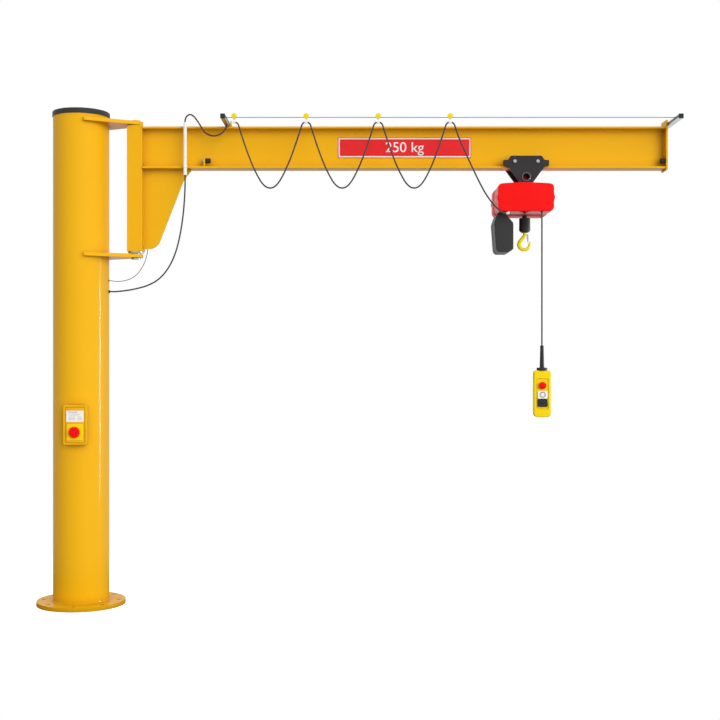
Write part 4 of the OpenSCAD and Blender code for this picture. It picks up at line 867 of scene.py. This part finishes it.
# Each hanger: a strap behind the roller, a pin from it through the roller, and a clip round the ends of flex.
roller_low, roller_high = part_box("cable_roller_1")
ROLLER_Z, ROLLER_R = (roller_low.z + roller_high.z) / 2, (roller_high.x - roller_low.x) / 2
ROLLER_HALF, CORE_R, PIN_R, RIVET_R = 0.0045, 0.0065, 0.002, 0.0032
STRAP_Y, STRAP_T, STRAP_W, CLIP_W = 0.00625, 0.0015, 0.008, 0.018
for k, x in enumerate(hanger_x):
    node = HANGERS[k]
    rides = frame["nodes"][node]["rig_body"]
    top = ROLLER_Z + 0.005
    strap = slab(f"{node}_strap", outline(
        [(x - STRAP_W / 2, CLIP_Z - 0.006), (x + STRAP_W / 2, CLIP_Z - 0.006), (x + STRAP_W / 2, top),
         (x - STRAP_W / 2, top)], [0.001, 0.001, 0.0039, 0.0039]),
        WIRE_Y + STRAP_Y - STRAP_T / 2, WIRE_Y + STRAP_Y + STRAP_T / 2, nylon_white)
    fitted(edged(strap, 0.0003), rides, "white_plastic", node)
    pin_end = STRAP_Y + STRAP_T / 2
    fitted(turned(f"{node}_pin",
                  [(0, -ROLLER_HALF - 0.0008), (RIVET_R - 0.0004, -ROLLER_HALF - 0.0006),
                   (RIVET_R, -ROLLER_HALF - 0.0001), (PIN_R, -ROLLER_HALF - 0.0001), (PIN_R, pin_end),
                   (RIVET_R, pin_end), (RIVET_R - 0.0004, pin_end + 0.0006), (0, pin_end + 0.0008)],
                  (x, WIRE_Y, ROLLER_Z), signal_yellow, along=(0, 1, 0), steps=20),
           rides, "signal_plastic", node)
    clip = slab(f"{node}_clip", outline(
        [(x - CLIP_W / 2, CLIP_Z - 0.007), (x + CLIP_W / 2, CLIP_Z - 0.007), (x + CLIP_W / 2, CLIP_Z + 0.007),
         (x + 0.0065, CLIP_Z + 0.007), (x + 0.0055, CLIP_Z + 0.0052), (x - 0.0055, CLIP_Z + 0.0052),
         (x - 0.0065, CLIP_Z + 0.007), (x - CLIP_W / 2, CLIP_Z + 0.007)],
        [0.004, 0.004, 0.001, 0, 0.0005, 0.0005, 0, 0.001], 4), WIRE_Y - 0.0055, WIRE_Y + 0.0055, nylon_white)
    fitted(edged(clip, 0.0006), rides, "white_plastic", node)
    flank = [(PIN_R + 0.0001, -ROLLER_HALF), (ROLLER_R - 0.004, -ROLLER_HALF),
             (ROLLER_R - 0.003, -ROLLER_HALF + 0.0003), (ROLLER_R - 0.0006, -ROLLER_HALF),
             (ROLLER_R, -ROLLER_HALF + 0.0006), (ROLLER_R, -ROLLER_HALF + 0.001), (CORE_R + 0.001, -0.0026)]
    fitted(turned(f"{node}_roller", flank + arc(CORE_R + 0.002, 0, 0.0024, 225, 135, 4)
                  + [(r, -y) for r, y in flank[::-1]],
                  (x, WIRE_Y, ROLLER_Z), signal_yellow, along=(0, 1, 0), steps=48, sharp=25, ring=True),
           f"roller_{k}" if k else rides, "signal_plastic", f"cable_roller_{k}" if k else node)

# The conduit: a white polyamide tube with a narrower bush at its top, held by a saddle on each flange edge.
low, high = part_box("conduit")
CONDUIT_X, CONDUIT_Y, CONDUIT_R, BORE_R, BUSH_L = (low.x + high.x) / 2, -0.072, 0.0105, 0.0048, 0.025
CONDUIT_L = high.z - low.z
fitted(turned("conduit_tube",
              [(BORE_R, 0), (CONDUIT_R - 0.0015, 0), (CONDUIT_R, 0.0015), (CONDUIT_R, CONDUIT_L - BUSH_L),
               (CONDUIT_R - 0.002, CONDUIT_L - BUSH_L + 0.0005), (CONDUIT_R - 0.002, CONDUIT_L - 0.002),
               (CONDUIT_R - 0.004, CONDUIT_L), (BORE_R, CONDUIT_L)],
              (CONDUIT_X, CONDUIT_Y, low.z), nylon_white, steps=40, ring=True),
       "jib", "white_plastic", "conduit")
SADDLE_H, BAND_T = 0.0115, 0.002
for k, z in enumerate((BEAM_FOOT, BEAM_TOP - SADDLE_H)):
    fitted(turned(f"conduit_band_{k + 1}",
                  [(CONDUIT_R - 0.0005, 0), (CONDUIT_R + 0.0014, 0), (CONDUIT_R + BAND_T, 0.0006),
                   (CONDUIT_R + BAND_T, SADDLE_H - 0.0006), (CONDUIT_R + 0.0014, SADDLE_H),
                   (CONDUIT_R - 0.0005, SADDLE_H)],
                  (CONDUIT_X, CONDUIT_Y, z), nylon_white, steps=40, ring=True),
           "jib", "white_plastic", "conduit")
    saddle = slab(f"conduit_saddle_{k + 1}", oblong(CONDUIT_X, z + SADDLE_H / 2, 0.014, SADDLE_H, 0.0015, 3),
                  CONDUIT_Y + CONDUIT_R - 0.001, -FLANGE_HALF, nylon_white)
    fitted(saddle, "jib", "white_plastic", "conduit")

# ---- Trolley ----
# Two flame-cut steel side plates, powder coated charcoal, stand on either side of the lower flange. Four
# flanged steel wheels turn on shouldered axles in them, and a thick tube across the plates carries the hoist.

# Polyester powder coat in charcoal: satin, with a fine orange-peel skin.
trolley_coat = finish("powder_coat_charcoal", "2D2D2E", 0.5, (12.0, 3.0), ("29292A", "323233"),
                      bump=(0.1, 0.0006), peel=PEEL, IOR=1.55, Specular_IOR_Level=0.2)

# Polyester powder coat in red: bright, semi-gloss, with an orange-peel skin.
hoist_red = finish("powder_coat_red", "FF0505", 0.45, (6.0, 2.0), ("FC0303", "FF0909"), bump=(0.06, 0.0006),
                   peel=PEEL, IOR=1.55, Specular_IOR_Level=0.04, Coat_Weight=0.24, Coat_Roughness=0.05)

dressed("trolley_plates", trolley_coat, "trolley_paint", edge=0.001)
dressed("suspension_tube", trolley_coat, "trolley_paint", edge=0.0006)
dressed("trolley_axles", zinc_plate, "zinc_steel", edge=0.001)
for k in (1, 2, 3, 4):
    dressed(f"wheel_{k}", zinc_plate, "zinc_steel", edge=0.0008)
low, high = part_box("suspension_tube")
TROLLEY_X, TUBE_Z, TUBE_BORE = (low.x + high.x) / 2, (low.z + high.z) / 2, 0.017
axle_low, axle_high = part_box("trolley_axles")
AXLE_Z, AXLE_X = (axle_low.z + axle_high.z) / 2, (axle_low.x + 0.01, axle_high.x - 0.01)
for side, word in ((-1, "front"), (1, "back")):
    # the hoist's red bolt ends inside the tube
    fitted(turned(f"suspension_plug_{word}", [(0, 0), (TUBE_BORE - 0.0002, 0), (TUBE_BORE - 0.0002, 0.018)]
                  + [(TUBE_BORE - 0.002, 0.02), (0.009, 0.02), (0.008, 0.017), (0, 0.017)],
                  (TROLLEY_X, side * 0.002, TUBE_Z), hoist_red, along=(0, side, 0), steps=40),
           "trolley", "hoist_paint")
    # a retaining ring round the tube's end
    fitted(turned(f"suspension_ring_{word}",
                  [(0.0234, 0)] + arc(0.0243, 0.0004, 0.0009, 160, 0, 8) + [(0.0252, 0)],
                  (TROLLEY_X, side * high.y, TUBE_Z), zinc_plate, along=(0, side, 0), steps=48, ring=True),
           "trolley", "zinc_steel")
    bolted(f"axle_nuts_{word}", "trolley", [(x, side * (axle_high.y - 0.0002), AXLE_Z) for x in AXLE_X],
           (0, side, 0), 0.0155, 0.004, 0.0085, 0.0005)

# ---- Hoist ----
# A die-cast body, powder coated red: a middle housing between two bolted covers with soft edges, a crowned
# top and a swell along each side. The chain box of two moulded black shells hangs from it.


def shell(name, shape, seam, face, seam_round, face_round, material):
    """An outline in X and Z made solid from y = seam to y = face, with a round along both edges."""
    n, way = len(shape), 1 if face > seam else -1
    middle = Vector((sum(p.x for p in shape) / n, sum(p.y for p in shape) / n))
    normals = []
    for k in range(n):
        side = shape[(k + 1) % n] - shape[k - 1]
        out = Vector((side.y, -side.x)).normalized()
        normals.append(out if out.dot(shape[k] - middle) > 0 else -out)
    rows = [(seam_round * (1 - math.sin(a)), seam + way * seam_round * (1 - math.cos(a)))
            for a in [math.pi / 2 * i / 3 for i in range(4)]]
    rows += [(face_round * (1 - math.cos(a)), face - way * face_round * (1 - math.sin(a)))
             for a in [math.pi / 2 * i / 6 for i in range(7)]]
    return lofted(name, [[(p.x - m.x * inset, y, p.y - m.y * inset) for p, m in zip(shape, normals)]
                         for inset, y in rows], material, sharp=40)


low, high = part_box("hoist_covers")
HOIST_X, HOIST_Z, HOIST_FRONT = (low.x + high.x) / 2, low.z, low.y
HOIST_W, HOIST_H, CROWN, SHOULDER = 0.161, 0.159, 0.008, 0.024
RIDGE, RIDGE_Z, RIDGE_HALF = 0.006, 0.081, 0.02


def hoist_outline(inset):
    """The body as seen from the front, that far inside the covers."""
    w, h = HOIST_W - inset, HOIST_H - inset
    side = [(w, inset), (w, RIDGE_Z - RIDGE_HALF), (w + RIDGE, RIDGE_Z), (w, RIDGE_Z + RIDGE_HALF), (w, h)]
    top = [((w - 2 * SHOULDER) * (1 - k / 6), h + CROWN / 2 * (1 + k / 6 * (2 - k / 6))) for k in range(7)]
    half = side + top
    points = half + [(-x, z) for x, z in half[-2::-1]]
    radii = [0.028, 0.03, 0.01, 0.03, SHOULDER] + [0] * 7
    radii += radii[-2::-1]
    return outline([(HOIST_X + x, HOIST_Z + z) for x, z in points], radii, 6)


COVER_SEAM, COVER_ROUND, MID_HALF = 0.0602, 0.005, 0.06
housing = slab("hoist_housing_casting", hoist_outline(0.002), -MID_HALF, MID_HALF, hoist_red, sharp=25)
# a bore through its underside guides the chain into a well
WELL_R, WELL_FLOOR, WELL_TOP, GUIDE_R = 0.012, 0.016, 0.14, 0.0083
cut(housing, turned("well", [(0, -0.01), (GUIDE_R, -0.01), (GUIDE_R, WELL_FLOOR), (WELL_R, WELL_FLOOR),
                             (WELL_R, WELL_TOP), (0, WELL_TOP)], (TROLLEY_X, 0, HOIST_Z + 0.002), hoist_red,
                    steps=32))
fitted(housing, "trolley", "hoist_paint", "hoist_housing")
for side, word in ((-1, "front"), (1, "back")):
    fitted(shell(f"hoist_cover_{word}", hoist_outline(0), side * COVER_SEAM, -side * HOIST_FRONT, 0.0008,
                 COVER_ROUND, hoist_red), "trolley", "hoist_paint", "hoist_covers")
bolted("hoist_cover_screws", "trolley", [(HOIST_X + x, -HOIST_FRONT - 0.0003, HOIST_Z + z)
                                         for x in (-0.135, 0.135) for z in (0.026, 0.132)],
       (0, 1, 0), 0.01, 0.004, 0.0075, 0.0012)
dressed("hoist_lug", hoist_red, "hoist_paint", edge=0.002, segments=3)
GLAND_SPLIT = HOIST_X
dressed("hoist_glands", nylon_white, "white_plastic", edge=0.0008, name="feed_gland_white",
        only=lambda x, y, z: x < GLAND_SPLIT)
dressed("hoist_glands", neoprene, "black_rubber", edge=0.0008, name="control_gland_black",
        only=lambda x, y, z: x > GLAND_SPLIT)

# The chain box, from two shells with a seam between them, and a neck up to the hoist.
CHAIN_BOX = [(-0.038, -0.222), (-0.045, -0.208), (-0.056, -0.056), (-0.038, -0.004), (0.009, -0.004),
             (0.056, -0.058), (0.056, -0.211), (0.027, -0.228), (-0.026, -0.228)]
box_low, box_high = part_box("chain_box")
box_x, box_seam = HOIST_X - 0.119, (box_low.y + box_high.y) / 2
box_shape = outline([(box_x + x, HOIST_Z + z) for x, z in CHAIN_BOX],
                    [0.01, 0.02, 0.02, 0.012, 0.012, 0.02, 0.014, 0.016, 0.012], 5)
for seam, face, word in ((box_seam - 0.0004, box_low.y, "front"), (box_seam + 0.0004, box_high.y, "back")):
    fitted(shell(f"chain_box_{word}", box_shape, seam, face, 0.0012, 0.005, abs_grey),
           "trolley", "dark_plastic", "chain_box")
neck = slab("chain_box_neck", oblong(box_x - 0.013, HOIST_Z - 0.002, 0.024, 0.012, 0.001), -0.03, 0.03,
            abs_grey)
fitted(edged(neck, 0.001), "trolley", "dark_plastic", "chain_box")

# ---- Control ----
# A hand control of two yellow polycarbonate shells. A recessed panel holds the red stop mushroom and the two
# keys, white to raise and black to lower. A ribbed rubber sleeve guides the cable into its collar.
low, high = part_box("pendant_body")
HAND_X, HAND_TOP, HAND_FACE = (low.x + high.x) / 2, high.z, low.y
HAND_SEAM = (low.y + high.y) / 2
hand_shape = outline([(low.x, low.z), (high.x, low.z), (high.x, high.z), (low.x, high.z)],
                     [0.022, 0.022, 0.016, 0.016], 8)
PANEL_W, PANEL_H, PANEL_DROP, PANEL_D = 0.068, 0.176, 0.134, 0.004
panel_z = HAND_TOP - PANEL_DROP
front_shell = shell("control_shell_front", hand_shape, HAND_SEAM - 0.0003, HAND_FACE, 0.0008, 0.007,
                    signal_yellow)
cut(front_shell, slab("panel", oblong(HAND_X, panel_z, PANEL_W, PANEL_H, 0.008), HAND_FACE - 0.01,
                      HAND_FACE + PANEL_D, signal_yellow))
STEM_R = 0.0085
BUTTONS = ("stop_button", "raise_button", "lower_button")
buttons = {name: sum(c.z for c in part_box(name)) / 2 for name in BUTTONS}
for name, z in buttons.items():
    cut(front_shell, turned("stem_space", [(0, 0), (STEM_R, 0), (STEM_R, 0.024), (0, 0.024)],
                            (HAND_X, HAND_FACE - 0.008, z), signal_yellow, along=(0, 1, 0), steps=32))
fitted(edged(front_shell, 0.0005), "trolley", "signal_plastic", "pendant_body")
fitted(shell("control_shell_back", hand_shape, HAND_SEAM + 0.0003, high.y, 0.0008, 0.007, signal_yellow),
       "trolley", "signal_plastic", "pendant_body")
# Painted shade: a matt orange line along the panel's edge stands in for the shade at the edge of its recess.
edge_shade_orange = finish("silicone_gasket_orange", "D98A12", 0.6, (120.0, 2.0), ("CF7F0E", "E29518"), IOR=1.41)
edge_shade_line = slab("control_panel_gasket", oblong(HAND_X, panel_z, PANEL_W - 0.0006, PANEL_H - 0.0006, 0.0077),
              HAND_FACE + PANEL_D - 0.0012, HAND_FACE + PANEL_D - 0.00005, edge_shade_orange)
cut(edge_shade_line, slab("gasket_space", oblong(HAND_X, panel_z, PANEL_W - 0.0046, PANEL_H - 0.0046, 0.006),
                 HAND_FACE, HAND_FACE + 0.01, edge_shade_orange))
fitted(edge_shade_line, "trolley", "signal_plastic")
bolted("control_screws", "trolley", [(HAND_X + x, high.y - 0.0003, HAND_TOP - z)
                                     for x in (-0.037, 0.037) for z in (0.018, 0.25)],
       (0, 1, 0), 0.006, 0.0022, 0.0042, 0.0008)

# The buttons: a mushroom, and two keys with a printed ring round a raised cap.
PANEL_FLOOR = HAND_FACE + PANEL_D
low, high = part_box("stop_button")
fitted(turned("stop_button_mushroom",
              [(0, 0), (0.008, 0), (0.008, 0.018), (0.0195, 0.018), (0.021, 0.0195), (0.021, 0.0235)]
              + arc(0.0165, 0.0232, 0.0045, 8, 66, 5) + [(0.013, 0.0285), (0.006, 0.0294), (0, 0.0295)],
              (HAND_X, high.y, buttons["stop_button"]), switch_red, along=(0, -1, 0), steps=48),
       "stop_button", "red_plastic", "stop_button")
KEY_W, KEY_H, KEY_FACE, KEY_BACK = 0.056, 0.045, PANEL_FLOOR - 0.009, PANEL_FLOOR - 0.004
RING_OUT, RING_IN, BUTTON_R = 0.017, 0.012, 0.0116
for name, material, ring_colour, slot in (("raise_button", nylon_white, print_ink, "white_plastic"),
                                          ("lower_button", nylon_black, abs_grey, "black_plastic")):
    z = buttons[name]
    low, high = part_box(name)
    key_piece = slab(f"{name}_key", oblong(HAND_X, z, KEY_W, KEY_H, 0.004), KEY_FACE, KEY_BACK, material)
    fitted(edged(key_piece, 0.0008), name, slot, name)
    fitted(turned(f"{name}_stem", [(0, 0), (0.008, 0), (0.008, 0.013), (0, 0.013)], (HAND_X, high.y, z),
                  material, along=(0, -1, 0), steps=32), name, slot, name)
    fitted(turned(f"{name}_ring",
                  [(RING_IN, 0), (RING_OUT, 0), (RING_OUT, 0.0008), (RING_OUT - 0.0005, 0.0012),
                   (RING_IN + 0.0003, 0.0012), (RING_IN, 0.0008)],
                  (HAND_X, PANEL_FLOOR - 0.0088, z), ring_colour, along=(0, -1, 0), steps=48, ring=True),
           name, slot, name)
    fitted(turned(f"{name}_cap", [(0, -0.002), (BUTTON_R - 0.0006, -0.002), (BUTTON_R - 0.0006, 0.0002),
                                  (BUTTON_R - 0.001, 0.0006), (0.008, 0.0009), (0, 0.001)],
                  (HAND_X, KEY_FACE, z), material, along=(0, -1, 0), steps=48), name, slot, name)

# The collar and its sleeve, with shallow ribs that let it bend.
low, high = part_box("pendant_sleeve")
COLLAR_R, COLLAR_H, SLEEVE_L, SLEEVE_BORE = (high.x - low.x) / 2, 0.016, high.z - low.z, FLEX_D / 2 + 0.0002
RIB_PITCH, ribs = 0.0115, []
for k in range(9):
    z = 0.03 + k * RIB_PITCH
    r = 0.01325 - 0.00325 * (z - COLLAR_H) / (SLEEVE_L - COLLAR_H)
    ribs += [(r, z), (r - 0.0007, z + 0.0008), (r - 0.0007, z + 0.0024), (r - 0.0001, z + 0.0032)]
fitted(turned("control_sleeve",
              [(SLEEVE_BORE, 0.02), (0.011, 0.02), (0.011, 0.0002), (COLLAR_R - 0.001, 0), (COLLAR_R, 0.001),
               (COLLAR_R, COLLAR_H - 0.0015), (COLLAR_R - 0.0015, COLLAR_H), (0.0145, COLLAR_H),
               (0.0134, COLLAR_H + 0.002)]
              + ribs + arc(0.0065, SLEEVE_L - 0.004, 0.004, 0, 80, 5) + [(SLEEVE_BORE, SLEEVE_L)],
              (pendant_x, pendant_y, low.z), neoprene, steps=40, ring=True),
       "trolley", "black_rubber", "pendant_sleeve")

# ---- Chain and hook ----
# A short-link chain of zinc plated round steel runs into the hoist. The hook block closes round its last link
# and the shank of a drop-forged hook, which turns in it. A sprung steel latch closes the throat.

# One link of round wire at each of a row of points, each turned a quarter against the last
link_tree, given = node_tree("chain_links", First="Vector", Count="Int", Step="Vector", Width="Float",
                             Height="Float", Wire="Float", Finish="Material")
row = add_node(link_tree, "GeometryNodeMeshLine", Count=given["Count"], Start_Location=given["First"],
               Offset=given["Step"])
loop_curve = add_node(link_tree, "GeometryNodeCurvePrimitiveQuadrilateral", Width=given["Width"],
                      Height=given["Height"])
bend = add_node(link_tree, "ShaderNodeMath", {"operation": "MULTIPLY"}, _0=given["Width"], _1=0.499)
rounded = add_node(link_tree, "GeometryNodeFilletCurve", {"mode": "POLY"}, Curve=loop_curve, Count=3,
                   Radius=bend)
thick = add_node(link_tree, "ShaderNodeMath", {"operation": "DIVIDE"}, _0=given["Wire"], _1=2.0)
wire_ring = add_node(link_tree, "GeometryNodeCurvePrimitiveCircle", Resolution=8, Radius=thick)
one = add_node(link_tree, "GeometryNodeCurveToMesh", Curve=rounded, Profile_Curve=wire_ring)
upright = add_node(link_tree, "GeometryNodeTransform", Geometry=one, Rotation=(math.pi / 2, 0, 0))
index = add_node(link_tree, "GeometryNodeInputIndex")
odd = add_node(link_tree, "ShaderNodeMath", {"operation": "MODULO"}, _0=index, _1=2.0)
quarter = add_node(link_tree, "ShaderNodeMath", {"operation": "MULTIPLY_ADD"}, _0=odd, _1=math.pi / 2,
                   _2=math.pi / 4)
turn = add_node(link_tree, "ShaderNodeCombineXYZ", Z=quarter)
links = add_node(link_tree, "GeometryNodeInstanceOnPoints", Points=row, Instance=upright,
                 Rotation=turn)
grow_out(link_tree, links, given["Finish"])

# The chain is laid out as it hangs when the hook is at its lowest, 1.9 m down. Its spare links are then drawn
# up into the well in the housing.
LIFT, PITCH, WIRE_THICK, LINK_IN, LINK_LONG = 1.9, 0.0147, 0.005, 0.006, 0.015
block_low, block_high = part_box("hook_block")
BLOCK_TOP = HOIST_Z - 0.021
LAST_LINK = BLOCK_TOP - 0.002
WELL_IN, WELL_OUT = HOIST_Z + WELL_TOP, HOIST_Z + 0.008    # between these the spare links are drawn up
LINKS = int((WELL_IN - 0.012 - LAST_LINK + LIFT) / PITCH)
chain = grown("load_chain_links", link_tree, [(0, 0, 0)], sharp=60, First=(TROLLEY_X, 0, LAST_LINK - LIFT),
              Count=LINKS, Step=(0, 0, PITCH), Width=LINK_IN + WIRE_THICK, Height=LINK_LONG + WIRE_THICK,
              Wire=WIRE_THICK, Finish=zinc_plate)


def drawn_up(z):
    """Where a point of the lowered chain lies at rest."""
    high_z, low_z = z + LIFT, z
    for _ in range(40):
        middle = (high_z + low_z) / 2
        t = min(1, max(0, (WELL_IN - middle) / (WELL_IN - WELL_OUT)))
        if middle - LIFT * t * t * (3 - 2 * t) > z:
            high_z = middle
        else:
            low_z = middle
    return (high_z + low_z) / 2


for v in chain.data.vertices:
    v.co.z = drawn_up(v.co.z)
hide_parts("load_chain")
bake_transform(chain)

# The hook block, turned: ribs round its upper half, and a rubber stop round the chain on top.
BLOCK_R, BLOCK_H = (block_high.x - block_low.x) / 2, BLOCK_TOP - block_low.z
STOP_R, STOP_L, CHAIN_R, CHAIN_D, SHANK_BORE, SHANK_D = 0.014, 0.018, 0.0095, 0.0145, 0.0102, 0.024
grips = []
for k in range(5):
    z = BLOCK_H - 0.012 - k * 0.0075
    grips += [(BLOCK_R, z), (BLOCK_R - 0.0016, z - 0.0012), (BLOCK_R - 0.0016, z - 0.003),
              (BLOCK_R, z - 0.0042)]
fitted(turned("hook_block_shell",
              [(SHANK_BORE, 0), (BLOCK_R - 0.02, 0)] + arc(BLOCK_R - 0.02, 0.02, 0.02, -90, 0, 8)
              + grips[::-1] + [(BLOCK_R, BLOCK_H - 0.004)]
              + arc(BLOCK_R - 0.004, BLOCK_H - 0.004, 0.004, 0, 90, 5)
              + [(STOP_R, BLOCK_H), (STOP_R, BLOCK_H + STOP_L - 0.0015), (STOP_R - 0.0015, BLOCK_H + STOP_L),
                 (CHAIN_R, BLOCK_H + STOP_L), (CHAIN_R, BLOCK_H - CHAIN_D), (0, BLOCK_H - CHAIN_D),
                 (0, SHANK_D), (SHANK_BORE, SHANK_D)],
              (TROLLEY_X, 0, block_low.z), neoprene, steps=64, sharp=25, ring=True),
       "hook_block", "black_rubber", "hook_block")

# Enamel on a drop-forged hook: bright yellow, glossy, over the slight waves of the forging, drawn at 8 mm.
hook_enamel = finish("enamelled_forged_steel_yellow", "FFE312", 0.35, (120.0, 2.0), ("FCDE0C", "FFE818"),
                     bump=(0.06, 0.001), IOR=1.5, Specular_IOR_Level=0.3)


def between(x, table):
    """The value at x in a table of pairs."""
    for (x0, y0), (x1, y1) in zip(table, table[1:]):
        if x <= x1:
            return y0 + (y1 - y0) * max(0, (x - x0) / (x1 - x0))
    return table[-1][1]


THROAT_R, THROAT_DROP, SHANK_R, NECK_T, HOOK_WIDE = 0.0205, 0.069, 0.01, 0.024, 0.021
THROAT_Z = block_low.z - THROAT_DROP
throat_thick = [(165, NECK_T), (180, 0.025), (270, 0.0195), (355, 0.016), (375, 0.012), (388, 0.004)]
tip_flare = [(360, 0), (375, 0.004), (388, 0.015)]


def throat_point(a):
    """The hook's centreline at that angle round the throat."""
    r = THROAT_R + between(a, tip_flare) + between(a, throat_thick) / 2
    return Vector((r * math.cos(math.radians(a)), r * math.sin(math.radians(a))))


ARC_START, ARC_END = 165, 388
neck_start, arc_start = Vector((0, 0.06)), throat_point(ARC_START)
neck_c1 = Vector((0, 0.044))
neck_c2 = arc_start + 0.017 * Vector((math.sin(math.radians(ARC_START)), -math.cos(math.radians(ARC_START))))
line, thick_at = [], []
for z in (THROAT_DROP + 0.022, THROAT_DROP + 0.01, THROAT_DROP, THROAT_DROP - 0.004):
    line.append(Vector((0, z)))
    thick_at.append(2 * SHANK_R)
for k in range(24):
    t = k / 24
    u = 1 - t
    line.append(u ** 3 * neck_start + 3 * t * u * (u * neck_c1 + t * neck_c2) + t ** 3 * arc_start)
    thick_at.append(2 * SHANK_R + (NECK_T - 2 * SHANK_R) * t)
for a in range(ARC_START, ARC_END, 3):
    line.append(throat_point(a))
    thick_at.append(between(a, throat_thick))
rings = []
for i, p in enumerate(line):
    along = (line[min(i + 1, len(line) - 1)] - line[max(i - 1, 0)]).normalized()
    out = Vector((-along.y, along.x))
    share = min(1, max(0, (i - 8) / 24))
    thick, wide = thick_at[i], min(thick_at[i] * (1 + 0.05 * share), HOOK_WIDE)
    ring_points = []
    for k in range(32):
        a = math.tau * k / 32
        c, s = math.cos(a), math.sin(a)
        squarer = 1 - 0.4 * share       # the forged section is squarer than round
        c = math.copysign(abs(c) ** squarer, c)
        s = math.copysign(abs(s) ** squarer, s)
        narrow = 1 + (0.18 if c < 0 else -0.1) * share * c       # its sides draw in, most towards the throat
        q = p + out * thick / 2 * c
        ring_points.append((TROLLEY_X + q.x, wide / 2 * s * narrow, THROAT_Z + q.y))
    rings.append(ring_points)
centre = Vector([sum(p[k] for p in rings[-1]) / 32 for k in range(3)])
ahead = Vector((line[-1].x - line[-2].x, 0, line[-1].y - line[-2].y)).normalized()
for size, reach in ((0.85, 0.0008), (0.55, 0.0014), (0.2, 0.0017)):
    rings.append([centre + (Vector(p) - centre) * size + ahead * reach for p in rings[len(line) - 1]])
fitted(lofted("hook_forging", rings, hook_enamel, sharp=50), "hook", "hook_paint", "hook")
EAR_X, EAR_Z, EAR_R, EAR_HALF = TROLLEY_X + 0.016, THROAT_Z + 0.056, 0.0055, 0.003
ear = slab("hook_latch_ear", outline([(EAR_X - 0.014, EAR_Z - EAR_R), (EAR_X + EAR_R, EAR_Z - EAR_R),
                                      (EAR_X + EAR_R, EAR_Z + EAR_R), (EAR_X - 0.014, EAR_Z + EAR_R)],
                                     [0, 0.0054, 0.0054, 0], 6), -EAR_HALF, EAR_HALF, hook_enamel)
fitted(edged(ear, 0.0006), "hook", "hook_paint", "hook")
dressed("hook_latch", zinc_plate, "zinc_steel", edge=0.0004)
